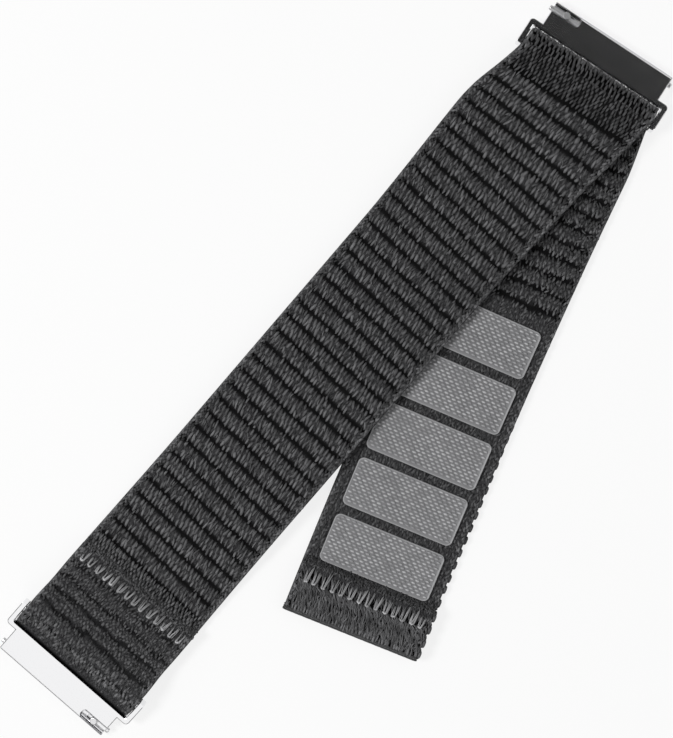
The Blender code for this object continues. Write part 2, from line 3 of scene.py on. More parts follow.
import bpy
import numpy as np
from bpy.props import FloatProperty, FloatVectorProperty, IntProperty, PointerProperty
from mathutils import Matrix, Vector


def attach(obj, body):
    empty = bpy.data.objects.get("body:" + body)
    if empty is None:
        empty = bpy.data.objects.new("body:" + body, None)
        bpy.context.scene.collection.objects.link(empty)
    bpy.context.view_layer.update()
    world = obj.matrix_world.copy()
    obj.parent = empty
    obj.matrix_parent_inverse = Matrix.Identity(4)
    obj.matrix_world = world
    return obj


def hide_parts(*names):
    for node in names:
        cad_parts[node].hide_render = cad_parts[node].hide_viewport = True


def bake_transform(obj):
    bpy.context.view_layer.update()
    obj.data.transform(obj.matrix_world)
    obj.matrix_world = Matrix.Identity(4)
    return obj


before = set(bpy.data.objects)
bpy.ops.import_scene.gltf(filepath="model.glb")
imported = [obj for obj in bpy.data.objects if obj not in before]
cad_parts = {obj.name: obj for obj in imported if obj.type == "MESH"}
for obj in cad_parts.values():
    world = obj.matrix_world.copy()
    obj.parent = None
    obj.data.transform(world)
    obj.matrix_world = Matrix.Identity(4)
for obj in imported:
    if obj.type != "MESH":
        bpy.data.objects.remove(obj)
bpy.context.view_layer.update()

bl_info = {
    "name": "Nylon watch strap",
    "version": (1, 0, 0),
    "blender": (4, 5, 0),
    "location": "3D View > Sidebar > Strap",
    "description": "Dresses the frame of a woven nylon watch strap with quick release ends",
    "category": "Add Mesh",
}

MM = 0.001

# The webbing's places and sizes, in metres, as the frame has them
LOOP_AXIS = np.array([60.5401, 13.7265, 2.35]) * MM
SHIFT = np.array([-0.7099, 13.7265, 0]) * MM
HALF_SPACING = 61.25 * MM
BAR_HEIGHT = 2.35 * MM
WRAP_RADIUS = 1.6 * MM
FOLD_SKEW = math.radians(8)
SKEW_FADE = 30 * MM
HALF_THICKNESS = 0.75 * MM
HALF_WIDTH = 11.5 * MM
LOW_LAYER = 0.75 * MM
OVER_TAIL_LAYER = 2.85 * MM
TOP_LAYER = 3.95 * MM
FLAP_END_X = -46.8 * MM
MAIN_WIDTH = 22.9 * MM
MAIN_END_GAIN = 0.4 * MM
MAIN_SIDE_SHIFT = 1.35 * MM
LOOP_BULGE = 1.4 * MM
SEWN_BULGE = 0.5 * MM
LOOP_FILL = 0.1 * MM
SEWN_FILL = 0.22 * MM
BEND_HALF = 11.75 * MM
TAIL_WIDTH = 23.3 * MM
TAIL_NARROWING = 0.3 * MM
TAIL_RUN = 96.05 * MM
TAIL_TURN = math.radians(3.6)
TAIL_HEADING = math.pi + 2 * FOLD_SKEW
TAIL_SIDE_SHIFT = -0.8 * MM
HEM_BEND_START = 94.45 * MM
HEM_RADIUS = 0.85 * MM
HEM_RAW_END = 87.55 * MM
ROW_PITCH = 2.86 * MM

# Start and length of each change of height: back from the loop bar, and on the flap in from the sewn bar
FALL_TO_TAIL = (0.0, 18 * MM)
FALL_TO_GROUND = (79 * MM, 25.7 * MM)
FLAP_FALL = (1.2 * MM, 7 * MM)

# Points of the main strip's side view on its flap, its turn and its run
FLAP_STEPS = 120
TURN_STEPS = 60
RUN_STEPS = 900
RUN_FIRST = FLAP_STEPS + TURN_STEPS

# The webbing's two faces
RIBBED = 1.0
LOOPED = -1.0


def smooth(t, start, length):
    """0 before start, 1 after start + length, and 3t^2 - 2t^3 in between."""
    s = np.clip((t - start) / length, 0, 1)
    return s * s * (3 - 2 * s)


# Strips


class Strip:
    """A length of webbing as a map from (along, side, lift) to a point. along is the length on its middle
    surface, side runs from -1 to 1 across it, and lift is the distance from the middle surface towards the
    ribbed face."""

    def __init__(self, path, last):
        """path gives the point and the lift's direction for along and side; along runs from 0 to last."""
        self.path = path
        self.last = last

    def __call__(self, along, side, lift):
        point, normal = self.path(np.asarray(along, float), np.asarray(side, float))
        return point + np.asarray(lift, float)[..., None] * normal


def profile_table(points):
    """Lengths along a line of (x, z) points, with the points and their tangents."""
    points = np.array(points)
    step = np.linalg.norm(np.diff(points, axis=0), axis=1)
    length = np.concatenate([[0], np.cumsum(step)])
    tangent = np.gradient(points, length, axis=0)
    tangent /= np.linalg.norm(tangent, axis=1)[:, None]
    return length, points, tangent


def read_table(table, along):
    """Point and tangent of a profile table at lengths along: x, z, the tangent's x and its z."""
    lengths, points, tangents = table
    columns = (points[:, 0], points[:, 1], tangents[:, 0], tangents[:, 1])
    return [np.interp(along, lengths, column) for column in columns]


def main_height(x):
    """Height of the run's middle over x: down from the loop bar on to the tail, then down to the ground."""
    back = HALF_SPACING - x
    return (TOP_LAYER - (TOP_LAYER - OVER_TAIL_LAYER) * smooth(back, *FALL_TO_TAIL)
            - (OVER_TAIL_LAYER - LOW_LAYER) * smooth(back, *FALL_TO_GROUND))


def main_profile():
    """The main strip's side view: flap from raw end to sewn bar, half round it, and on to the loop bar."""
    flap = np.linspace(FLAP_END_X, -HALF_SPACING, FLAP_STEPS, endpoint=False)
    flap_z = TOP_LAYER - (TOP_LAYER - BAR_HEIGHT) * smooth(flap + HALF_SPACING, *FLAP_FALL)
    turn = np.linspace(0, math.pi, TURN_STEPS, endpoint=False)
    turn_x = -HALF_SPACING - WRAP_RADIUS * np.sin(turn)
    turn_z = BAR_HEIGHT + WRAP_RADIUS * np.cos(turn)
    run = np.linspace(-HALF_SPACING, HALF_SPACING, RUN_STEPS)
    return profile_table(np.concatenate([
        np.column_stack([flap, flap_z]), np.column_stack([turn_x, turn_z]),
        np.column_stack([run, main_height(run)])]))


def main_half(x):
    """Half the main run's width at x: it grows towards the bars with the fourth power of x, bulges beside
    each bar, and is a little wider at the bars, where the pile fills the slots."""
    share = np.clip(np.abs(x) / HALF_SPACING, 0, 1)
    from_bar = HALF_SPACING - np.abs(x)
    bulge = smooth(from_bar, 0, 11 * MM) - smooth(from_bar, 11 * MM, 29 * MM)
    bulge *= np.where(x > 0, LOOP_BULGE, SEWN_BULGE)
    fill = np.where(x > 0, LOOP_FILL, SEWN_FILL) * (1 - smooth(from_bar, 2.5 * MM, 5 * MM))
    return (MAIN_WIDTH + MAIN_END_GAIN * share ** 4 + bulge) / 2 + fill


def main_middle(x):
    """How far the main run's middle lies to the side at x."""
    share = (x + HALF_SPACING) / (2 * HALF_SPACING)
    return MAIN_SIDE_SHIFT * share * (1 - smooth(x, HALF_SPACING - 15 * MM, 15 * MM))


def main_path(along, side):
    """The profile carried across the width, its end at the loop bar skewed by the fold's angle."""
    x, z, tx, tz = read_table(MAIN_TABLE, along)
    flat = np.clip(x, -HALF_SPACING, HALF_SPACING)
    y = main_middle(flat) + side * main_half(flat)
    skewed = x - y * math.tan(FOLD_SKEW) * smooth(x, HALF_SPACING - SKEW_FADE, SKEW_FADE)
    return np.stack([skewed, y, z], -1) + SHIFT, np.stack([-tz, np.zeros_like(tx), tx], -1)


def bend_path(along, side):
    """Half a circle round the loop bar, from its top to its underside."""
    turn = along / WRAP_RADIUS
    across = np.array([-math.sin(FOLD_SKEW), math.cos(FOLD_SKEW), 0])
    out = np.array([math.cos(FOLD_SKEW), math.sin(FOLD_SKEW), 0])
    normal = np.sin(turn)[..., None] * out + np.cos(turn)[..., None] * np.array([0, 0, 1.0])
    half = BEND_HALF / math.cos(FOLD_SKEW)
    return LOOP_AXIS + side[..., None] * half * across + WRAP_RADIUS * normal, normal


def tail_profile():
    """The tail's side view: along the ground, round the hem's bend, and back on top to the raw end."""
    run = np.linspace(0, HEM_BEND_START, 900, endpoint=False)
    turn = np.linspace(0, math.pi, 50, endpoint=False)
    back = np.linspace(HEM_BEND_START, HEM_RAW_END, 60)
    return profile_table(np.concatenate([
        np.column_stack([run, np.full_like(run, LOW_LAYER)]),
        np.column_stack([HEM_BEND_START + HEM_RADIUS * np.sin(turn),
                         LOW_LAYER + HEM_RADIUS - HEM_RADIUS * np.cos(turn)]),
        np.column_stack([back, np.full_like(back, LOW_LAYER + 2 * HEM_RADIUS)])]))


def tail_path(along, side):
    """The tail's profile carried along an arc on the ground, its start skewed by the fold's angle."""
    reach, z, ts, tz = read_table(TAIL_TABLE, along)
    across = side * (TAIL_WIDTH - TAIL_NARROWING * smooth(reach, 0, SKEW_FADE)) / 2
    s = reach - across * math.tan(FOLD_SKEW) * (1 - smooth(reach, 0, SKEW_FADE))
    a = across + TAIL_SIDE_SHIFT * smooth(s, 0, 12 * MM)
    radius = TAIL_RUN / TAIL_TURN
    heading = TAIL_HEADING + s / radius
    x = HALF_SPACING + radius * (np.sin(heading) - math.sin(TAIL_HEADING)) + a * np.sin(heading)
    y = radius * (math.cos(TAIL_HEADING) - np.cos(heading)) - a * np.cos(heading)
    normal = np.stack([tz * np.cos(heading), tz * np.sin(heading), -ts], -1)
    return np.stack([x, y, z], -1) + SHIFT, normal


MAIN_TABLE = main_profile()
TAIL_TABLE = tail_profile()
MAIN = Strip(main_path, MAIN_TABLE[0][-1])
BEND = Strip(bend_path, math.pi * WRAP_RADIUS)
TAIL = Strip(tail_path, TAIL_TABLE[0][-1])
TURN_START = MAIN_TABLE[0][FLAP_STEPS]
RUN_START = MAIN_TABLE[0][RUN_FIRST]


def at_x(x):
    """The main strip's length along, for a place x on its lower run."""
    lengths, points, _ = MAIN_TABLE
    return np.interp(x, points[RUN_FIRST:, 0], lengths[RUN_FIRST:])


def flap_at_x(x):
    """The main strip's length along, for a place x on its flap."""
    lengths, points, _ = MAIN_TABLE
    return np.interp(-np.asarray(x, float), -points[:FLAP_STEPS, 0], lengths[:FLAP_STEPS])


# Meshes


def join_parts(parts):
    """Several (points, faces, thread, shade) as one."""
    points, faces, thread, shade = [], [], [], []
    count = 0
    for part_points, part_faces, part_thread, part_shade in parts:
        points.append(np.reshape(part_points, (-1, 3)))
        faces += [tuple(i + count for i in face) for face in part_faces]
        thread.append(np.reshape(part_thread, (-1, 3)))
        shade.append(np.reshape(part_shade, -1))
        count += len(points[-1])
    return np.concatenate(points), faces, np.concatenate(thread), np.concatenate(shade)


def new_piece(name, parts, body, finishes="nylon_yarn"):
    """One mesh object from parts of (points, faces, thread, shade). finishes is one finish for all of them,
    or a list with one for each. thread holds the pattern coordinates of each point, and shade how light its
    strand is, together with the painted light and shade that the parts put in it; both are attributes."""
    if isinstance(finishes, str):
        finishes = [finishes] * len(parts)
    names = list(dict.fromkeys(finishes))
    points, faces, thread, shade = join_parts(parts)
    mesh = bpy.data.meshes.new(name)
    mesh.from_pydata(points.tolist(), [], faces)
    mesh.attributes.new("thread", "FLOAT_VECTOR", "POINT").data.foreach_set(
        "vector", thread.astype(np.float32).ravel())
    mesh.attributes.new("shade", "FLOAT", "POINT").data.foreach_set("value", shade.astype(np.float32))
    for finish in names:
        mesh.materials.append(finish_of(finish))
    slots = [names.index(finish) for part, finish in zip(parts, finishes, strict=True) for _ in part[1]]
    mesh.polygons.foreach_set("material_index", slots)
    mesh.shade_smooth()
    obj = bpy.data.objects.new(name, mesh)
    bpy.context.scene.collection.objects.link(obj)
    if body:
        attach(obj, body)
    return obj


def grid_faces(rows, columns, closed):
    """Quads of a grid of rows by columns, whose columns close on themselves where closed is set."""
    i, j = np.meshgrid(np.arange(rows - 1), np.arange(columns if closed else columns - 1), indexing="ij")
    k = (j + 1) % columns
    corners = [i * columns + j, i * columns + k, (i + 1) * columns + k, (i + 1) * columns + j]
    return np.stack(corners, -1).reshape(-1, 4)


def band(strip, rows, columns, relief):
    """A closed length of webbing: at each of rows, a section of a flat band with round edges, closed by a
    flat face at each end. lift = +-(GROUND_HALF - relief(along, side, up)), and painted shade darkens the
    ground the deeper the relief dips or swells, so the grooves, the valleys and the swells are dark."""
    flat = np.linspace(-1 + EDGE_ROUND, 1 - EDGE_ROUND, columns)
    turn = np.linspace(0, math.pi, 9)[1:-1]
    bulge = 1 - EDGE_ROUND + EDGE_ROUND * np.sin(turn)
    section = np.concatenate([flat, bulge, flat[::-1], -bulge])
    up = np.concatenate([np.ones(columns), np.cos(turn), -np.ones(columns), -np.cos(turn)])
    along, side = np.meshgrid(np.linspace(0, strip.last, rows), section, indexing="ij")
    up = np.broadcast_to(up, along.shape)
    drop = relief(along, side, up)
    lift = up * (GROUND_HALF - drop)
    count = len(section)
    faces = grid_faces(rows, count, True)[:, ::-1].tolist()
    faces.append(tuple(range(count)))
    faces.append(tuple(reversed(range((rows - 1) * count, rows * count))))
    thread = np.stack([along, side * HALF_WIDTH, lift], -1)
    # painted shade: the ground darkens with the depth of the relief, down to the ground colour in the grooves
    return strip(along, side, lift), faces, thread, np.clip(1 - np.abs(drop) / GROOVE_DEPTH, 0, 1)


def capsule_template(rings, sides):
    """A yarn's unit shape: rings along -1..1 whose size is the root of 1 - l^4, with a point at each end."""
    along = np.sin(np.linspace(-1, 1, rings + 2)[1:-1] * math.pi / 2) * LAST_RING
    size = np.sqrt(1 - along ** 4)
    turn = (np.arange(sides) + 0.5) / sides * 2 * math.pi
    l = np.concatenate([[-1], np.repeat(along, sides), [1]])
    w = np.concatenate([[0], (size[:, None] * np.cos(turn)).ravel(), [0]])
    h = np.concatenate([[0], (size[:, None] * np.sin(turn)).ravel(), [0]])
    last = 1 + rings * sides
    j = np.arange(sides)
    near_tip = np.stack([0 * j, 1 + (j + 1) % sides, 1 + j], -1)
    far_tip = np.stack([last + 0 * j, last - sides + j, last - sides + (j + 1) % sides], -1)
    return l, w, h, grid_faces(rings, sides, True) + 1, np.concatenate([near_tip, far_tip])


def yarns(strip, place, size, lift, slant=0.0, arch=0.0, face=RIBBED, detail=(5, 6), seed=1, tone=1.0,
          curl=0.0, tilt=0.0, fade=0.0):
    """Yarns lying on a strip. Each is the unit shape stretched to size = (length, width, height), turned on
    the strip by slant and laid at place = (along, metres across), with
    lift = face * (lift + arch * (1 - l^2) + tilt * l + height * h / 2). curl bows the yarns sideways by up
    to that much, tone is how light they are, and fade darkens the far end, or the near one where it is
    negative. All carry painted shade at their tips and on their undersides, and painted light on their
    crowns. A value is one number for all, or an array shaped like along."""
    l, w, h, quads, triangles = capsule_template(*detail)
    shape = np.shape(place[0])
    along, side, length, width, height, lift, slant, arch, tone, tilt = [
        np.broadcast_to(np.asarray(value, float), shape).reshape(-1, 1)
        for value in (*place, *size, lift, slant, arch, tone, tilt)]
    chance = np.random.default_rng(seed).random((len(along), 2))
    bow = curl * (2 * chance[:, 1:] - 1) * (1 - l * l)
    run = l * length / 2
    over = w * width / 2 + bow
    up = h * height / 2
    a = along + run * np.cos(slant) - over * np.sin(slant)
    b = side + run * np.sin(slant) + over * np.cos(slant)
    points = strip(a, b / HALF_WIDTH, face * (lift + arch * (1 - l * l) + tilt * l + up))
    offset = (np.arange(len(along)) * len(l))[:, None, None]
    faces = []
    for corners in (quads, triangles):
        block = (corners[None] + offset).reshape(-1, corners.shape[1])
        faces += (block[:, ::-1] if face < 0 else block).tolist()
    # painted light and shade: each yarn is lighter at its crown and darker on its underside and at its tips
    shade = tone * (0.35 + 0.65 * chance[:, :1]) * (0.75 + 0.25 * h) * (1 - 0.5 * l * l)
    shade *= 1 - (abs(fade) + fade * l) / 2
    spread = chance[:, :1] * PATTERN_SPREAD
    return points, faces, np.stack([run + spread[:, :1], over + spread[:, 1:], up], -1), shade


# Materials


def feed(tree, node, inputs):
    """Sets a node's inputs by name or number: links the value where it is a socket, and stores it if not."""
    for name, value in inputs.items():
        if isinstance(value, bpy.types.NodeSocket):
            tree.links.new(value, node.inputs[name])
        else:
            node.inputs[name].default_value = value


def add_node(tree, kind, inputs):
    """A new node of a shader's tree, with its inputs fed."""
    node = tree.nodes.new("ShaderNode" + kind)
    feed(tree, node, inputs)
    return node


def math_node(tree, operation, *values):
    """The result of one sum on numbers."""
    node = add_node(tree, "Math", dict(enumerate(values)))
    node.operation = operation
    return node.outputs[0]


def attribute(tree, name):
    """The outputs of the node that reads one of a mesh's own attributes."""
    node = tree.nodes.new("ShaderNodeAttribute")
    node.attribute_name = name
    return node.outputs


def object_place(tree):
    """The place in the object's own coordinates."""
    return tree.nodes.new("ShaderNodeTexCoord").outputs["Object"]


def noise(tree, place, scale, detail=2.0):
    """A noise texture read at a place."""
    inputs = {"Vector": place, "Scale": scale, "Detail": detail, "Roughness": 0.5}
    return add_node(tree, "TexNoise", inputs).outputs["Fac"]


def stretched(tree, place, scale):
    """A place stretched by scale."""
    return add_node(tree, "Mapping", {"Vector": place, "Scale": scale}).outputs["Vector"]


def map_range(tree, value, low, high, first=0.0, last=1.0):
    """A value between first and last as one between low and high."""
    inputs = {"Value": value, "From Min": first, "From Max": last, "To Min": low, "To Max": high}
    return add_node(tree, "MapRange", inputs).outputs["Result"]


def colour_ramp(tree, factor, stops):
    """A colour ramp with two (place, colour) stops."""
    node = add_node(tree, "ValToRGB", {"Fac": factor})
    for element, (place, colour) in zip(node.color_ramp.elements, stops):
        element.position = place
        element.color = (*colour, 1)
    return node.outputs["Color"]


def bumped(tree, height, strength, distance):
    """A surface's direction, bumped by height."""
    inputs = {"Height": height, "Strength": strength, "Distance": distance}
    return add_node(tree, "Bump", inputs).outputs["Normal"]


def shader(name, colour, roughness):
    """A new material with its Principled shader and its node tree."""
    material = bpy.data.materials.new(name)
    material.use_nodes = True
    tree = material.node_tree
    surface = tree.nodes["Principled BSDF"]
    feed(tree, surface, {"Base Color": (*colour, 1), "Roughness": roughness})
    return material, surface, tree


def fibre_material(name, dark, light, roughness, sheen, specular, filament_size, filament_share, bump_size):
    """Nylon yarn, from dark to light by shade * (1 - filament_share * (1 - filaments)) plus soft patches.
    The filaments are a noise of filament_size, along and across each strand, which the bump reads too."""
    material, surface, tree = shader(name, dark, roughness)
    fine = (1 / filament_size[0], 1 / filament_size[1], 1 / filament_size[1])
    filaments = noise(tree, stretched(tree, attribute(tree, "thread")["Vector"], fine), 1.0)
    share = map_range(tree, filaments, 1 - filament_share, 1.0, 0.35, 0.65)
    strand = math_node(tree, "MULTIPLY", attribute(tree, "shade")["Fac"], share)
    patches = noise(tree, object_place(tree), 380.0, 3.0)
    total = math_node(tree, "MULTIPLY_ADD", patches, 0.2, strand)
    feed(tree, surface, {
        "Base Color": colour_ramp(tree, total, [(0.1, dark), (1.0, light)]),
        "Sheen Weight": sheen,
        "Sheen Roughness": 0.4,
        "Specular IOR Level": specular,
        "Normal": bumped(tree, filaments, 0.7, bump_size),
    })
    return material


def steel_material(name, colour, roughness):
    """Brushed steel: fine lines along the strap, faint smudges in the roughness."""
    material, surface, tree = shader(name, colour, roughness)
    place = object_place(tree)
    lines = noise(tree, stretched(tree, place, (300, 9000, 9000)), 1.0)
    smudges = noise(tree, place, 400.0, 3.0)
    feed(tree, surface, {
        "Metallic": 1.0,
        "Roughness": map_range(tree, smudges, roughness * 0.8, roughness * 1.3),
        "Normal": bumped(tree, lines, 0.08, 0.01 * MM),
    })
    return material


# Settings


def length(name, description, size):
    """A length that the user can set."""
    return FloatProperty(name=name, description=description, default=size, unit="LENGTH")


def colour(name, description, *levels):
    """A colour that the user can set."""
    return FloatVectorProperty(name=name, description=description, default=levels, subtype="COLOR")


class StrapSizes(bpy.types.PropertyGroup):
    """Sizes of the weave and the stitches that a user would change."""

    rib_pitch: length("Rib pitch", "Distance from one rib to the next", ROW_PITCH)
    yarn_pitch: length("Yarn pitch", "Distance across from one yarn to the next", 0.74 * MM)
    groove_width: length("Groove width", "Gap between the yarns of two ribs", 0.28 * MM)
    stitch_count: IntProperty(name="Stitches", description="Zigzags across the webbing in a seam", default=14)
    thread_radius: length("Thread radius", "Half the thickness of the sewing thread", 0.18 * MM)


class StrapColours(bpy.types.PropertyGroup):
    """Colours of the strap's finishes."""

    # The yarns' ramp runs from yarn_dark to yarn_light: painted shade on their undersides and tips, painted
    # light on their crowns
    yarn_dark: colour("Yarn, dark", "Colour of the yarns' shaded filaments", 0.01, 0.01, 0.0105)
    yarn_light: colour("Yarn, light", "Colour of the yarns' crowns", 0.172, 0.172, 0.177)
    # The ground colour is the ground weave's own dark colour and the painted shade deep in the grooves
    ground: colour("Ground weave", "Colour deep between the yarns", 0.005, 0.005, 0.0052)
    fuzz: colour("Fuzz", "Colour of the fuzz that fills the ribs", 0.052, 0.052, 0.054)
    # The pads' two colours are shaded and lit copies of one plastic: painted shade on the floor, painted
    # light on the hooks and rims
    pad_floor_shaded: colour("Pad floor", "Colour of the pads between their hooks", 0.15, 0.15, 0.155)
    pad_hooks_lit: colour("Pad hooks", "Colour of the pads' hooks and rims", 0.46, 0.46, 0.47)
    thread: colour("Thread", "Colour of the stitches", 0.5, 0.5, 0.51)
    steel: colour("Steel", "Colour of the end pieces", 0.88, 0.88, 0.89)


FINISHES = {}


def make_finish(name):
    """A new material for the finish of that name, from the scene's colours."""
    colours = bpy.context.scene.strap_colours
    fine = (0.6 * MM, 0.07 * MM)
    coarse = (0.5 * MM, 0.17 * MM)
    thread = np.array(colours.thread)
    steel = np.array(colours.steel)
    fibres = {
        "nylon_yarn": (colours.yarn_dark, colours.yarn_light, 0.6, 0.1, 0.25, fine, 0.45, 0.03 * MM),
        "nylon_ground": (colours.ground, colours.fuzz, 0.9, 0.0, 0.05, coarse, 0.85, 0.12 * MM),
        "hook_moulding": (colours.pad_floor_shaded, colours.pad_hooks_lit, 0.45, 0.0, 0.4, fine, 0.1, 0.004 * MM),
        "sewing_thread": (thread * 0.25, thread, 0.5, 0.1, 0.25, fine, 0.4, 0.03 * MM),
    }
    metals = {"polished_steel": (steel, 0.13), "turned_steel": (steel * 0.75, 0.4)}
    if name in fibres:
        return fibre_material(name, *fibres[name])
    return steel_material(name, *metals[name])


def finish_of(name):
    """The finish of that name, made once."""
    if name not in FINISHES:
        FINISHES[name] = make_finish(name)
    return FINISHES[name]


# The weave

FIRST_GROOVE = -44.0 * MM
LAST_GROOVE = 56.17 * MM
GROOVE_COUNT = 36
GROOVE_DRIFT = (0.35 * MM, 0.31 * MM, -0.11 * MM)
FLAP_EDGE_X = -46.5 * MM
GROUND_HALF = 0.55 * MM
GROOVE_DEPTH = 0.25 * MM
EDGE_ROUND = 0.045
PLAIN_PITCH = 0.8 * MM
FLOOR_CLEARANCE = 0.15 * MM
EDGE_BAND = 1.1 * MM
SEAM_MARGIN = 0.9 * MM
RIB_SLANT = 0.14
RIB_OVERLAP = 0.56
TURN_SWELL = 0.5 * MM
LAST_RING = 0.98

# The underside's rows of loops: the first along x, their end, and the fold's rows, from the run's start
UNDER_FIRST = -58.5 * MM
UNDER_END = 60.5 * MM
FOLD_ROWS = np.array([-4.0, -2.4, 0.4]) * MM

# In mm: the flap's valleys, its rows of loops as (x, length, light), its raw end's steps as (x, height)
FLAP_VALLEYS = (-62.05, -57.76, -55.2, -52.65, -49.9)
FLAP_ROWS = ((-63.1, 1.1, 0.45), (-61.25, 1.4, 1.2), (-59.75, 1.4, 0.85), (-58.6, 1.1, 0.5),
             (-56.85, 1.3, 0.8), (-55.9, 1.1, 0.5), (-54.3, 1.3, 0.85), (-53.35, 1.1, 0.6))
RAW_END_STEPS = ((-46.4, 1.1), (-45.8, 0.75), (-45.1, 0.4), (-44.5, 0.1))
PATTERN_SPREAD = np.array([97, 31]) * MM


def groove_places():
    """Where the grooves lie along x: even steps from first to last, plus a drift of three sine waves."""
    share = np.linspace(0, 1, GROOVE_COUNT)
    drift = sum(size * np.sin((n + 1) * math.pi * share) for n, size in enumerate(GROOVE_DRIFT))
    return FIRST_GROOVE + (LAST_GROOVE - FIRST_GROOVE) * share + drift


def rib_lean(along, side):
    """How far a rib is drawn along the strap by side, in metres: most at the sewn end."""
    return side * (0.041 - 0.03 * along / MAIN.last)


def wander(along, side):
    """How far a valley between rows of loops strays at a place across, by two sine waves."""
    return 0.22 * MM * (np.sin(side / (1.9 * MM) + along / MM) + np.sin(side / (0.75 * MM) + 2 * along / MM))


def row_relief(places, width, depth, face, lean=None):
    """A relief that dips by depth at each place along the strip, on one face: depth times 1 - smooth step of
    the distance to the nearest place. lean(along, metres across) bends the dips."""

    def relief(along, side, up):
        shift = lean(along, side * HALF_WIDTH) if lean else 0
        distance = np.abs((along - shift)[..., None] - places).min(-1)
        return depth * (1 - smooth(distance, 0.12 * width, 0.88 * width)) * (up * face > 0)

    return relief


def turn_swell(first, last, face):
    """A relief below zero: webbing that bulges by TURN_SWELL on its outer face, from a third of the way round
    the turn between first and last to the turn's end. band paints the swell in full shade, so that a dark
    face fills the gap beside the steel."""

    def relief(along, side, up):
        share = (along - first) / (last - first)
        return -TURN_SWELL * smooth(share, 0.3, 0.25) * (1 - smooth(share, 0.8, 0.2)) * (up * face > 0)

    return relief


def summed(*reliefs):
    """The sum of several reliefs."""
    return lambda along, side, up: sum(relief(along, side, up) for relief in reliefs)


class Chance:
    """Seeded deviations in arrays of one shape."""

    def __init__(self, seed, shape):
        self.rng = np.random.default_rng(seed)
        self.shape = shape

    def stray(self, size):
        """Normal deviations round 0."""
        return self.rng.normal(0, size, self.shape)

    def between(self, low, high):
        """Values spread evenly from low to high."""
        return self.rng.uniform(low, high, self.shape)


def weave_grid(rows, pitch, margin=EDGE_BAND):
    """Rows along the strip and places across it, a pitch apart and clear of the edges by margin, as grids."""
    inner = HALF_WIDTH - margin
    return np.meshgrid(rows, np.arange(-inner + pitch / 2, inner, pitch), indexing="ij")


def rib_yarns(strip, starts, ends, seed, pitch, top, lean=None):
    """Two interlocked sets of slanted yarns on each rib, a light one from its start and a darker one to its
    end, half a pitch apart, and thin ones over them. Every second rib is laid less evenly."""
    start, side = weave_grid(starts, pitch)
    end = np.asarray(ends)[:, None]
    chance = Chance(seed, start.shape)
    wild = np.where(np.arange(len(starts)) % 2, 1.6, 0.9)[:, None]
    length = end - start
    middle = (start + end) / 2 + (lean(start, side) if lean else 0)
    parts = []
    for which in (-1, 1):
        share = RIB_OVERLAP * (1 + chance.stray(0.13) * wild)
        along = middle + which * length * (1 - share) / 2 + chance.stray(0.11 * MM) * wild
        across = side + which * pitch * 0.25 + chance.stray(0.06 * MM) * wild
        width = 0.42 * MM * (1 + chance.stray(0.18))
        lift = top - 0.33 * MM + chance.stray(0.04 * MM) * wild
        slant = RIB_SLANT + chance.stray(0.09) * wild
        parts.append(yarns(strip, (along, across), (length * share, width, 0.36 * MM), lift, slant, 0.14 * MM,
                           seed=seed * 7 + which, tone=0.97 - 0.15 * which, curl=0.09 * MM))
    place = (middle + chance.stray(0.45 * MM), side + chance.stray(0.2 * MM))
    size = (length * chance.between(0.25, 0.5), 0.24 * MM, 0.2 * MM)
    lift = top - 0.2 * MM + chance.stray(0.04 * MM)
    parts.append(yarns(strip, place, size, lift, RIB_SLANT + chance.stray(0.25), 0.08 * MM, detail=(3, 5),
                       seed=seed * 7 + 3, curl=0.1 * MM))
    return join_parts(parts)


def floats(strip, rows, seed, length, pitch, top=HALF_THICKNESS, tone=0.8, margin=EDGE_BAND):
    """Rows of single yarns along the strip on its ribbed face, each row half a pitch beside the last."""
    row, side = weave_grid(rows, pitch, margin)
    chance = Chance(seed, row.shape)
    stagger = np.where(np.arange(len(rows)) % 2, pitch / 4, -pitch / 4)[:, None]
    place = (row + chance.stray(0.08 * MM), side + stagger + chance.stray(0.05 * MM))
    size = (length * (1 + chance.stray(0.15)), 0.37 * MM * (1 + chance.stray(0.18)), 0.4 * MM)
    lift = top - 0.36 * MM + chance.stray(0.04 * MM)
    return yarns(strip, place, size, lift, 0.1 + chance.stray(0.12), 0.17 * MM, seed=seed, tone=tone,
                 curl=0.08 * MM)


def fringe(strip, start, step, lifts, face, seed, tone):
    """Loose ends that close off a raw edge: rows of short fibres, a step apart, each at the next of lifts."""
    reach = HALF_WIDTH - 0.3 * MM
    row, side = np.meshgrid(np.arange(len(lifts)), np.linspace(-reach, reach, 70), indexing="ij")
    chance = Chance(seed, row.shape)
    place = (start + step * row + chance.stray(0.08 * MM), side + chance.stray(0.12 * MM))
    size = (chance.between(0.4, 0.9) * MM, chance.between(0.2, 0.34) * MM, 0.26 * MM)
    lift = lifts[row] + chance.stray(0.05 * MM)
    return yarns(strip, place, size, lift, chance.stray(0.6), 0.06 * MM, face, (3, 5), seed, tone, 0.1 * MM)


def cords_across(strip, rows, seed):
    """Smooth dark cords that run across the strip, each row of overlapping yarns end to end."""
    places = np.arange(-HALF_WIDTH + 1 * MM, HALF_WIDTH - 0.5 * MM, 1.5 * MM)
    row, side = np.meshgrid(rows, places, indexing="ij")
    slant = math.pi / 2 + Chance(seed, row.shape).stray(0.02)
    return yarns(strip, (row, side), (2.3 * MM, 0.34 * MM, 0.34 * MM), HALF_THICKNESS - 0.17 * MM, slant,
                 seed=seed, tone=0.4)


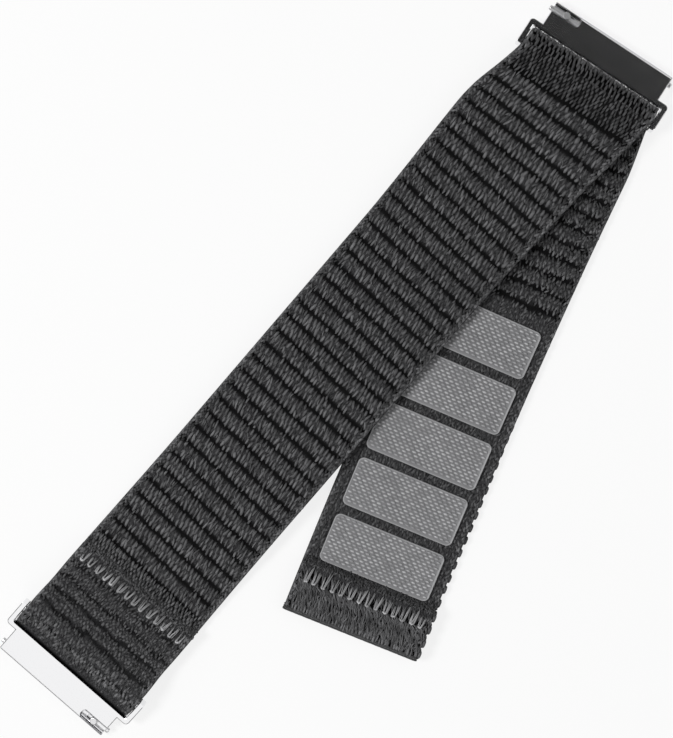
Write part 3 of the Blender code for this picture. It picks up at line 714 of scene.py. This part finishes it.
def edge_chain(strip, edge, seed, gaps, pitch=0.8 * MM, scallop=None):
    """A selvedge along edge, 1 or -1: rows of short yarns slanted in turn one way and the other, like a
    braid, on both faces, and plump ones round the edge, every second of which stands out by scallop(along).
    The inner rows have painted shade at the gaps, the places along where the grooves between the ribs run
    out."""
    places = np.arange(pitch / 2, strip.last - pitch / 4, pitch)
    chance = Chance(seed, len(places))
    rows = ((0.28, 0.15, 1.0), (0.5, -0.4, 1.0), (0.8, 0.5, 0.9), (1.12, -0.4, 0.35))
    parts = []
    for face in (RIBBED, LOOPED):
        for row, (inset, slant, light) in enumerate(rows):
            along = places + (row % 2) * pitch / 2 + chance.stray(0.18 * MM)
            # painted shade on the inner rows where the grooves run out
            gap_shade = 1 - smooth(np.abs(along[:, None] - gaps).min(-1), 0.25 * MM, 0.5 * MM)
            tone = chance.between(0.5, 1.4) * light * (1 - 0.75 * (row > 1) * gap_shade)
            side = edge * (HALF_WIDTH - inset * MM + chance.between(-0.06, 0.06) * MM)
            size = (chance.between(0.8, 1.1) * MM, chance.between(0.3, 0.44) * MM, 0.3 * MM)
            lift = 0.42 * MM + chance.stray(0.03 * MM)
            parts.append(yarns(
                strip, (along, side), size, lift, edge * slant + chance.between(-0.15, 0.15), 0.12 * MM, face,
                (3, 6), seed * 10 + row + 5 * int(face), tone, 0.06 * MM))
    out = np.where(np.arange(len(places)) % 2, 1.0, 0.0) * (scallop(places) if scallop else 0.0)
    along = places + pitch / 2 + chance.stray(0.08 * MM)
    side = edge * (HALF_WIDTH - 0.19 * MM + out - chance.between(0, 0.07) * MM)
    parts.append(yarns(strip, (along, side), (1.35 * pitch, 0.42 * MM + out, 1.0 * MM), 0.0, detail=(5, 8),
                       seed=seed + 5, tone=chance.between(0.6, 1.1)))
    return join_parts(parts)


def tuft_rows(strip, rows, seed, length, pitch=0.66 * MM, top=HALF_THICKNESS, tone=1.0, fade=0.0):
    """Rows of loops on the strip's looped face: plump yarns in two sets that lean two ways, and thin loose
    ones over them. length and tone are for all rows or row by row, and fade is as for yarns."""
    row, side = weave_grid(rows, pitch)
    chance = Chance(seed, row.shape)
    length, tone = [np.broadcast_to(np.asarray(v, float)[..., None], row.shape) for v in (length, tone)]
    parts = []
    for which, share in ((-1, 0.7), (1, 0.6)):
        place = (row + which * length * 0.17 + chance.stray(0.14 * MM),
                 side + which * pitch * 0.25 + chance.stray(0.08 * MM))
        size = (length * share * (1 + chance.stray(0.2)), 0.42 * MM * (1 + chance.stray(0.2)), 0.4 * MM)
        lift = top - 0.37 * MM + chance.stray(0.04 * MM)
        slant = which * 0.12 + chance.stray(0.25)
        parts.append(yarns(strip, place, size, lift, slant, 0.16 * MM, LOOPED, (4, 6), seed * 5 + which, tone,
                           0.1 * MM, fade=fade))
    place = (row + chance.stray(0.4) * length, side + chance.stray(0.2 * MM))
    size = (length * chance.between(0.3, 0.7), chance.between(0.2, 0.36) * MM, 0.24 * MM)
    lift = top - 0.22 * MM + chance.stray(0.04 * MM)
    parts.append(yarns(strip, place, size, lift, chance.stray(0.5), 0.08 * MM, LOOPED, (3, 5), seed * 5 + 3,
                       0.65 * tone, 0.1 * MM))
    return join_parts(parts)


def plain_rows(strip, start, end, seed, row_pitch, pitch, tone):
    """A plain fine weave on the strip's looped face: small yarns along the strip in loose rows."""
    row, side = weave_grid(np.arange(start + row_pitch / 2, end, row_pitch), pitch)
    chance = Chance(seed, row.shape)
    place = (row + chance.stray(0.2 * MM), side + chance.stray(0.14 * MM))
    size = (chance.between(0.5, 1.1) * MM, chance.between(0.22, 0.42) * MM, 0.26 * MM)
    lift = HALF_THICKNESS - 0.25 * MM + chance.stray(0.04 * MM)
    return yarns(strip, place, size, lift, 0.1 + chance.stray(0.3), 0.08 * MM, LOOPED, (3, 5), seed, tone,
                 0.05 * MM)


def zigzag(strip, closed, depth, count, radius, face, base_lift, seed, tone):
    """A zigzag seam: narrow V's of thread whose legs meet at closed and reach depth along the strip from
    there, one straight and one slanted towards the next V. Each leg is three loose plies that sink and fade
    into painted shade towards the open end, and two short stitches close each V."""
    chance = Chance(seed, count)
    reach = HALF_WIDTH - SEAM_MARGIN
    edges = np.linspace(-reach, reach, count + 1)
    middle = (edges[1:] + edges[:-1]) / 2 + chance.stray(0.06 * MM)
    step = edges[1] - edges[0]
    way = math.copysign(1, depth)
    parts = []
    for near, far, share, leg_seed in ((0.12, 0.17, 0.75, 37), (-0.12, -0.34, 1.0, 50)):
        lean = (far - near) * step
        run = abs(depth) * share * (1 + chance.stray(0.09))
        for ply in (-1, 0, 1):
            along = closed + way * run / 2 + chance.stray(0.07 * MM)
            across = middle + (near + far) / 2 * step + ply * radius * 0.5 + chance.stray(0.03 * MM)
            length = np.hypot(lean, run) * (1 + chance.stray(0.08))
            width = radius * (1 + chance.stray(0.2))
            lift = base_lift + chance.stray(0.02 * MM)
            slant = np.arctan2(lean * way, run) + chance.stray(0.07)
            # fade of way * 0.75: painted shade on each leg towards its open end
            parts.append(yarns(
                strip, (along, across), (length, width, radius * 1.2), lift, slant, 0.12 * MM, face, (6, 6),
                seed * 9 + ply + leg_seed, tone * chance.between(0.7, 1.4), 0.06 * MM, -way * 0.12 * MM,
                way * 0.75))
    for across in (-0.14 * MM, 0.14 * MM):
        place = (closed + way * 0.15 * MM + chance.stray(0.05 * MM), middle + across)
        slant = math.copysign(1.0, across) * way + chance.stray(0.2)
        parts.append(yarns(strip, place, (0.6 * MM, 0.34 * MM, 0.34 * MM), base_lift, slant, 0.1 * MM, face,
                           (4, 6), seed * 9 + 7, tone * 1.5))
    return join_parts(parts)


def hem_fibres(seed):
    """Long thin fibres on the hem's top, lying at a slant to either side, in overlapping bands."""
    chance = Chance(seed, None)
    top = TAIL.last - 2.4 * MM
    reach = HALF_WIDTH - EDGE_BAND * 0.8
    parts = []
    bands = ((-0.9, 0.75, 130), (-3.1, 0.3, 130), (-2.0, 0.5, 110), (0.9, 0.3, 120), (-4.2, 0.3, 110),
             (-3.6, 0.0, 80), (-1.4, 0.2, 80))
    for number, (start, lean, count) in enumerate(bands):
        chance.shape = count
        along = top + start * MM + chance.stray(0.25 * MM)
        across = np.linspace(-reach, reach, count) + chance.stray(0.12 * MM)
        size = (chance.between(1.2, 2.5) * MM, chance.between(0.16, 0.32) * MM, 0.28 * MM)
        lift = HALF_THICKNESS - 0.3 * MM + chance.stray(0.07 * MM)
        slant = lean + chance.stray(0.22)
        parts.append(yarns(TAIL, (along, across), size, lift, slant, 0.12 * MM, RIBBED, (5, 5),
                           seed * 10 + number, chance.between(0.45, 1.25), 0.3 * MM))
    return join_parts(parts)


# Operators


class STRAP_OT_main(bpy.types.Operator):
    """Main webbing: the run over the tail, the fold round the sewn bar and the flap"""

    bl_idname = "strap.main"
    bl_label = "Main webbing"

    def execute(self, context):
        sizes = context.scene.strap_sizes
        grooves = at_x(np.concatenate([[FLAP_EDGE_X], groove_places()]))
        under = at_x(np.arange(UNDER_FIRST, UNDER_END, ROW_PITCH))
        pieces = [main_ground(grooves, under), main_ribs(grooves, sizes), flap_loops(), main_underside(under)]
        chains = [edge_chain(MAIN, edge, 15, grooves) for edge in (1.0, -1.0)]
        pieces.append(new_piece("main_selvedges", chains, "strap_main"))
        return {"FINISHED"}


def main_ground(grooves, under):
    """The main webbing's body with the grooves of the ribs, the flap's valleys and those of the underside."""
    plain_weave = np.arange(grooves[-1] + PLAIN_PITCH, MAIN.last, PLAIN_PITCH)
    valleys = flap_at_x(np.array(FLAP_VALLEYS) * MM)
    relief = summed(
        row_relief(grooves[1:], 0.85 * MM, GROOVE_DEPTH, RIBBED, rib_lean),
        # close dips over the plain weave after the last groove: painted shade on the ground between its
        # floats
        row_relief(plain_weave, 0.95 * MM, 0.8 * GROOVE_DEPTH, RIBBED),
        row_relief(valleys, 0.75 * MM, 0.75 * GROOVE_DEPTH, LOOPED, wander),
        row_relief(under + ROW_PITCH / 2, 1.0 * MM, GROOVE_DEPTH, LOOPED),
        turn_swell(TURN_START, RUN_START, LOOPED))
    ground = new_piece("main_ground", [band(MAIN, 1000, 28, relief)], "strap_main", "nylon_ground")
    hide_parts("webbing_main")
    return ground


def main_ribs(grooves, sizes):
    """The ribs of the run, the dense plain weave after the last one, and the flap's raw end stepping down."""
    gap = sizes.groove_width / 2
    starts = grooves[:-1] + gap
    ends = grooves[1:] - gap
    ribs = rib_yarns(MAIN, starts, ends, 11, sizes.yarn_pitch, HALF_THICKNESS, rib_lean)
    dense_rows = np.arange(grooves[-1] + 0.7 * MM, MAIN.last + 0.3 * MM, 0.75 * MM)
    dense = floats(MAIN, dense_rows, 12, 1.05 * MM, 0.66 * MM, tone=0.57)
    raw_end = fringe(MAIN, at_x(-46.7 * MM), 0.13 * MM, np.linspace(2.2, 0.8, 8) * MM, RIBBED, 16, 0.8)
    steps = np.array(RAW_END_STEPS) * MM
    step_yarns = floats(MAIN, at_x(steps[:, 0]), 18, 1.2 * MM, 0.66 * MM, HALF_THICKNESS + steps[:, 1:], 1.0)
    return new_piece("main_ribs", [ribs, dense, raw_end, step_yarns], "strap_main")


def flap_loops():
    """The flap's rows of loops, and its plain weave beyond the seam."""
    x, length, tone = np.array(FLAP_ROWS).T
    tufts = tuft_rows(MAIN, flap_at_x(x * MM), 13, length * MM, tone=tone)
    plain = plain_rows(MAIN, flap_at_x(-47.0 * MM), flap_at_x(-52.3 * MM), 14, 0.62 * MM, 0.5 * MM, 0.7)
    return new_piece("main_tufts", [tufts, plain], "strap_main")


def main_underside(under):
    """The rows of loops of the run's underside and of the fold's last part."""
    rows = np.concatenate([RUN_START + FOLD_ROWS, under])
    loops = tuft_rows(MAIN, rows, 17, 2.0 * MM, top=HALF_THICKNESS - FLOOR_CLEARANCE, tone=0.8)
    return new_piece("main_underside", [loops], "strap_main")


class STRAP_OT_bend(bpy.types.Operator):
    """Webbing bent round the loop bar, between the main run and the tail"""

    bl_idname = "strap.bend"
    bl_label = "Bend at the loop bar"

    def execute(self, context):
        # dips every 0.6 mm: painted shade on the bend's ground between its floats
        relief = summed(row_relief(np.arange(0, BEND.last, 0.6 * MM), 1 * MM, GROOVE_DEPTH, RIBBED),
                        turn_swell(0, BEND.last, RIBBED))
        outer = floats(BEND, np.arange(0.3 * MM, BEND.last, 0.8 * MM), 21, 1.1 * MM, 0.74 * MM,
                       HALF_THICKNESS + 0.08 * MM, 0.6)
        beads = floats(BEND, np.linspace(0.34, 0.7, 7) * BEND.last, 24, 0.75 * MM, 0.5 * MM, 0.97 * MM, 1.0,
                       0.25 * MM)
        chains = [edge_chain(BEND, edge, 22, np.array([BEND.last])) for edge in (1.0, -1.0)]
        bend = new_piece("bend_webbing", [band(BEND, 40, 14, relief), outer, beads, *chains], None,
                         ["nylon_ground"] + ["nylon_yarn"] * 4)
        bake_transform(bend)
        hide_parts("webbing_bend")
        return {"FINISHED"}


TUFTS_START = 2.9 * MM
TUFTS_END = 36.2 * MM
PLAIN_END = 88 * MM


class STRAP_OT_tail(bpy.types.Operator):
    """Tail of the strap with its hem"""

    bl_idname = "strap.tail"
    bl_label = "Tail and hem"

    def execute(self, context):
        sizes = context.scene.strap_sizes
        ribs = np.arange(1.2 * MM, 92 * MM, sizes.rib_pitch)
        tufts = np.arange(TUFTS_START, TUFTS_END, ROW_PITCH)
        valleys = tufts + ROW_PITCH / 2
        pieces = [tail_ground(ribs, valleys), tail_ribs(ribs, sizes), tail_loops(tufts), hem_yarns()]
        chains = [edge_chain(TAIL, 1.0, 36, valleys),
                  edge_chain(TAIL, -1.0, 39, valleys, 1.1 * MM, hem_scallop)]
        pieces.append(new_piece("tail_selvedges", chains, "tail"))
        return {"FINISHED"}


def hem_scallop(along):
    """How far the tail's scallops stand out: none at first, and more towards the hem."""
    return 0.28 * MM * smooth(along, 45 * MM, 30 * MM)


def tail_ground(ribs, valleys):
    """The tail's body with the grooves of the ribs underneath and on the hem, and the valleys on its top."""
    # dips over the hem's top, stopping short of its raw end: painted shade on the ground there
    hem_top = np.arange(HEM_BEND_START, TAIL.last - 1.5 * MM, PLAIN_PITCH)
    relief = summed(row_relief(np.concatenate([ribs, hem_top]), 0.95 * MM, GROOVE_DEPTH, RIBBED),
                    row_relief(valleys, 1.2 * MM, GROOVE_DEPTH, LOOPED, wander))
    ground = new_piece("tail_ground", [band(TAIL, 900, 14, relief)], "tail", "nylon_ground")
    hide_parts("webbing_tail")
    return ground


def tail_ribs(ribs, sizes):
    """The ribs of the tail's underside."""
    gap = sizes.groove_width / 2
    yarn = rib_yarns(TAIL, ribs + gap, ribs + sizes.rib_pitch - gap, 31, sizes.yarn_pitch,
                     HALF_THICKNESS - FLOOR_CLEARANCE)
    return new_piece("tail_ribs", [yarn], "tail")


def tail_loops(tufts):
    """The tail's rows of loops, dark and light ones in turn, the plain weave under the pads, and the loose
    ends of the hem's raw edge."""
    dark = tuft_rows(TAIL, tufts - 0.65 * MM, 32, 1.3 * MM, tone=0.5)
    light = tuft_rows(TAIL, tufts + 0.45 * MM, 43, 1.7 * MM, 0.8 * MM, tone=1.45, fade=-0.8)
    plain = plain_rows(TAIL, 36.3 * MM, PLAIN_END, 33, 0.75 * MM, 0.55 * MM, 0.75)
    ends = fringe(TAIL, HEM_RAW_END - 0.1 * MM, -0.1 * MM, np.linspace(2.3, 0.8, 9) * MM, LOOPED, 38, 0.6)
    return new_piece("tail_tufts", [dark, light, plain, ends], "tail")


def hem_yarns():
    """The hem's fibres, a row of light yarns along its fold, and dark cords round the fold."""
    row = floats(TAIL, np.array([HEM_BEND_START + 2.4 * MM]), 35, 1.1 * MM, 0.5 * MM, tone=1.3)
    cords = cords_across(TAIL, HEM_BEND_START + np.arange(0.5 * MM, 2.2 * MM, 0.27 * MM), 37)
    return new_piece("hem_yarns", [hem_fibres(34), row, cords], "tail")


# The pads, by their places on the tail

PAD_COUNT = 5
PAD_FIRST = 43.27 * MM
PAD_PITCH = 9.77 * MM
PAD_SHIFT = -0.2 * MM
PAD_LENGTH = 8.2 * MM
PAD_WIDTH = 18.9 * MM
PAD_CORNER = 1.0 * MM
PAD_FLOOR = HALF_THICKNESS + 0.02 * MM


class STRAP_OT_pads(bpy.types.Operator):
    """Five moulded hook pads on the tail"""

    bl_idname = "strap.pads"
    bl_label = "Hook pads"

    def execute(self, context):
        for number in range(PAD_COUNT):
            middle = PAD_FIRST + PAD_PITCH * number
            parts = [pad_slab(middle), pad_hooks_lit(middle, 50 + number)]
            pad = new_piece(f"hook_field_{number + 1}", parts, "tail", "hook_moulding")
            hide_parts(f"hook_pad_{number + 1}")
        return {"FINISHED"}


def pad_slab(middle):
    """A pad: rings of a rounded rectangle shrinking inward, up a wall, over a round rim and down to a floor.
    Each ring has its inset and its height in mm, and how light it is: painted light on the rim's top and
    painted shade at the foot of its wall and on the floor."""
    rings = ((0.0, 0.0, 0.1), (0.0, 0.12, 0.2), (0.02, 0.17, 0.35), (0.07, 0.2, 0.5), (0.14, 0.2, 0.45),
             (0.2, 0.17, 0.35), (0.26, 0.14, 0.2), (0.6, 0.13, 0.12))
    turn = np.linspace(0, 2 * math.pi, 64, endpoint=False)
    steep = 1000
    points = []
    count = len(turn)
    for inset, height, _ in rings:
        radius = PAD_CORNER - inset * MM * 0.6
        a = PAD_LENGTH / 2 - inset * MM - radius
        b = PAD_WIDTH / 2 - inset * MM - radius
        x = np.clip(np.cos(turn) * steep, -a, a) + radius * np.cos(turn)
        y = np.clip(np.sin(turn) * steep, -b, b) + radius * np.sin(turn)
        points.append(np.stack([middle + x, PAD_SHIFT + y, np.full(count, PAD_FLOOR + height * MM)], -1))
    local = np.concatenate(points)
    faces = grid_faces(len(rings), count, True)[:, ::-1].tolist()
    faces.append(tuple(range(count)))
    faces.append(tuple(reversed(range((len(rings) - 1) * count, len(rings) * count))))
    world = TAIL(local[:, 0], local[:, 1] / HALF_WIDTH, LOOPED * local[:, 2])
    return world, faces, local, np.repeat([light for _, _, light in rings], count)


def pad_hooks_lit(middle, seed):
    """Moulded hooks in staggered columns, each a short bent bar lying across the pad."""
    rng = np.random.default_rng(seed)
    columns = np.arange(-PAD_LENGTH / 2 + 0.45 * MM, PAD_LENGTH / 2 - 0.35 * MM, 0.5 * MM)
    rows = np.arange(-PAD_WIDTH / 2 + 0.75 * MM, PAD_WIDTH / 2 - 0.5 * MM, 1.0 * MM)
    column, row = np.meshgrid(np.arange(len(columns)), np.arange(len(rows)), indexing="ij")
    a = middle + columns[column] + rng.normal(0, 0.012 * MM, column.shape)
    b = PAD_SHIFT + rows[row] + np.where(column % 2, 0.5 * MM, 0.0) + rng.normal(0, 0.02 * MM, column.shape)
    keep = np.abs(b - PAD_SHIFT) < PAD_WIDTH / 2 - 0.5 * MM
    size = (0.8 * MM, 0.34 * MM, 0.2 * MM)
    # tone 1.25: painted light on the hooks, which are the floor's own plastic
    return yarns(TAIL, (a[keep], b[keep]), size, PAD_FLOOR + 0.15 * MM, math.pi / 2, 0.12 * MM, LOOPED,
                 (4, 6), seed, 1.25)


class STRAP_OT_seams(bpy.types.Operator):
    """Zigzag seams that hold the flap and the hem"""

    bl_idname = "strap.seams"
    bl_label = "Zigzag seams"

    def execute(self, context):
        sizes = context.scene.strap_sizes
        count = sizes.stitch_count
        radius = sizes.thread_radius
        flap = zigzag(MAIN, flap_at_x(-49.1 * MM), -2.1 * MM, count, radius, LOOPED, HALF_THICKNESS, 61, 0.88)
        anchor = new_piece("flap_seam", [flap], "strap_main", "sewing_thread")
        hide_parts("anchor_stitch")
        hem_top = HALF_THICKNESS + 0.05 * MM
        hem = zigzag(TAIL, TAIL.last - 2.85 * MM, 2.5 * MM, count, radius, RIBBED, hem_top, 62, 0.85)
        seam = new_piece("hem_seam", [hem], "tail", "sewing_thread")
        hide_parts("hem_stitch")
        return {"FINISHED"}


class STRAP_OT_steel(bpy.types.Operator):
    """Steel end pieces and their spring bars"""

    bl_idname = "strap.steel"
    bl_label = "Steel ends"

    def execute(self, context):
        for name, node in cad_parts.items():
            if name.startswith(("loop_", "sewn_")):
                finish = finish_of("polished_steel" if name.endswith("adapter") else "turned_steel")
                for place in node.material_slots:
                    place.material = finish
        return {"FINISHED"}


# The stage: the photo's height and its lens in pixels, and the camera that was fitted to it

SENSOR = 36
PHOTO_HEIGHT = 738
LENS_PIXELS = 2000
CAMERA_TURN = (-0.06677903, 0.03307114, -0.85064107)
CAMERA_PLACE = (0.0232849461, 0.0195843824, 0.3200269326)
FLOOR_REACH = 3.0


class STRAP_OT_stage(bpy.types.Operator):
    """Pale floor, soft studio light, a dark card for the steel, and the camera"""

    bl_idname = "strap.stage"
    bl_label = "Stage"

    def execute(self, context):
        scene = context.scene
        scene.view_settings.view_transform = "Standard"
        far = FLOOR_REACH
        corners = [(-far, -far, 0), (far, -far, 0), (far, far, 0), (-far, far, 0)]
        stage_piece("floor", corners, [(0, 1, 2, 3)], floor_material())
        light_world(scene)
        add_lamp("key", (-0.25, 0.35, 0.55), 0.2, 3.0)
        add_lamp("fill", (0.35, -0.25, 0.6), 0.5, 0.8)
        add_card()
        add_wall()
        camera = bpy.data.objects.new("camera", bpy.data.cameras.new("camera"))
        scene.collection.objects.link(camera)
        scene.camera = camera
        camera.data.sensor_width = SENSOR
        camera.data.lens = LENS_PIXELS / PHOTO_HEIGHT * SENSOR
        camera.data.clip_start = 0.01
        camera.data.clip_end = 20
        camera.rotation_euler = CAMERA_TURN
        camera.location = CAMERA_PLACE
        return {"FINISHED"}


def stage_piece(name, points, faces, material, only_reflected=False):
    """A mesh of the stage. Where only_reflected is set, only mirrors see it."""
    mesh = bpy.data.meshes.new(name)
    mesh.from_pydata(points, [], faces)
    mesh.materials.append(material)
    obj = bpy.data.objects.new(name, mesh)
    bpy.context.scene.collection.objects.link(obj)
    if only_reflected:
        obj.visible_camera = False
        obj.visible_diffuse = False
        obj.visible_shadow = False


def seen_directly(tree):
    """1 for camera rays and mirrored ones, 0 for the others."""
    rays = tree.nodes.new("ShaderNodeLightPath").outputs
    return math_node(tree, "MAXIMUM", rays["Is Camera Ray"], rays["Is Glossy Ray"])


def light_world(scene):
    """White all round for the camera and for mirrors, and a softer light from it on everything else."""
    world = scene.world or bpy.data.worlds.new("studio")
    scene.world = world
    world.use_nodes = True
    tree = world.node_tree
    strength = map_range(tree, seen_directly(tree), 0.4, 1.0)
    feed(tree, tree.nodes["Background"], {"Strength": strength, "Color": (1, 1, 1, 1)})


def add_card():
    """A dark card that only reflections see, 60 mm above the loop end: the steel there mirrors it."""
    corners = np.array([(-10, -25, 60), (112, -25, 60), (112, 55, 60), (-10, 55, 60)]) * MM
    card_black = shader("card_black", (0.015, 0.015, 0.015), 0.9)[0]
    stage_piece("dark_card", corners.tolist(), [(0, 1, 2, 3)], card_black, True)


def add_wall():
    """A dark wall all round, 1 m away, that only reflections see: it draws the outlines of the steel."""
    sides = 48
    turn = np.linspace(0, 2 * math.pi, sides, endpoint=False)
    ring = np.stack([np.cos(turn), np.sin(turn), 0 * turn], -1)
    points = np.concatenate([ring + (0, 0, 0.02), ring + (0, 0, 0.7)])
    wall_grey = shader("wall_grey", (0.3, 0.3, 0.3), 0.9)[0]
    stage_piece("dark_wall", points.tolist(), grid_faces(2, sides, True).tolist(), wall_grey, True)


def add_lamp(name, place, size, power):
    """An area lamp at place, turned to the strap's middle."""
    target = Vector((0, 0.01, 0))
    lamp = bpy.data.lights.new(name, "AREA")
    lamp.size = size
    lamp.energy = power
    obj = bpy.data.objects.new(name, lamp)
    bpy.context.scene.collection.objects.link(obj)
    obj.location = place
    obj.rotation_euler = (target - Vector(place)).to_track_quat("-Z", "Y").to_euler()


def floor_material():
    """Matt white that shows the camera a share of plain white, so that the page stays white round a soft
    shadow."""
    material, surface, tree = shader("floor_white", (0.85, 0.85, 0.85), 0.9)
    share = math_node(tree, "MULTIPLY", seen_directly(tree), 0.8)
    glow = tree.nodes.new("ShaderNodeEmission")
    mix = add_node(tree, "MixShader", {0: share, 1: surface.outputs[0], 2: glow.outputs[0]})
    feed(tree, tree.nodes["Material Output"], {"Surface": mix.outputs[0]})
    return material


class STRAP_PT_panel(bpy.types.Panel):
    """Strap tools in the sidebar"""

    bl_label = "Nylon watch strap"
    bl_space_type = "VIEW_3D"
    bl_region_type = "UI"
    bl_category = "Strap"

    def draw(self, context):
        for operator in OPERATORS:
            self.layout.operator(operator.bl_idname)
        for group in (context.scene.strap_sizes, context.scene.strap_colours):
            for name in group.__annotations__:
                self.layout.prop(group, name)


OPERATORS = (STRAP_OT_stage, STRAP_OT_main, STRAP_OT_bend, STRAP_OT_tail, STRAP_OT_pads, STRAP_OT_seams,
             STRAP_OT_steel)
CLASSES = (StrapSizes, StrapColours, *OPERATORS, STRAP_PT_panel)


def register():
    """Registers the classes and hangs the settings on the scene."""
    for cls in CLASSES:
        bpy.utils.register_class(cls)
    bpy.types.Scene.strap_sizes = PointerProperty(type=StrapSizes)
    bpy.types.Scene.strap_colours = PointerProperty(type=StrapColours)


def unregister():
    """Undoes register."""
    del bpy.types.Scene.strap_colours
    del bpy.types.Scene.strap_sizes
    for cls in reversed(CLASSES):
        bpy.utils.unregister_class(cls)


def main():
    """Makes every piece in order."""
    register()
    for name in ("stage", "main", "bend", "tail", "pads", "seams", "steel"):
        getattr(bpy.ops.strap, name)()


if __name__ == "__main__":
    main()
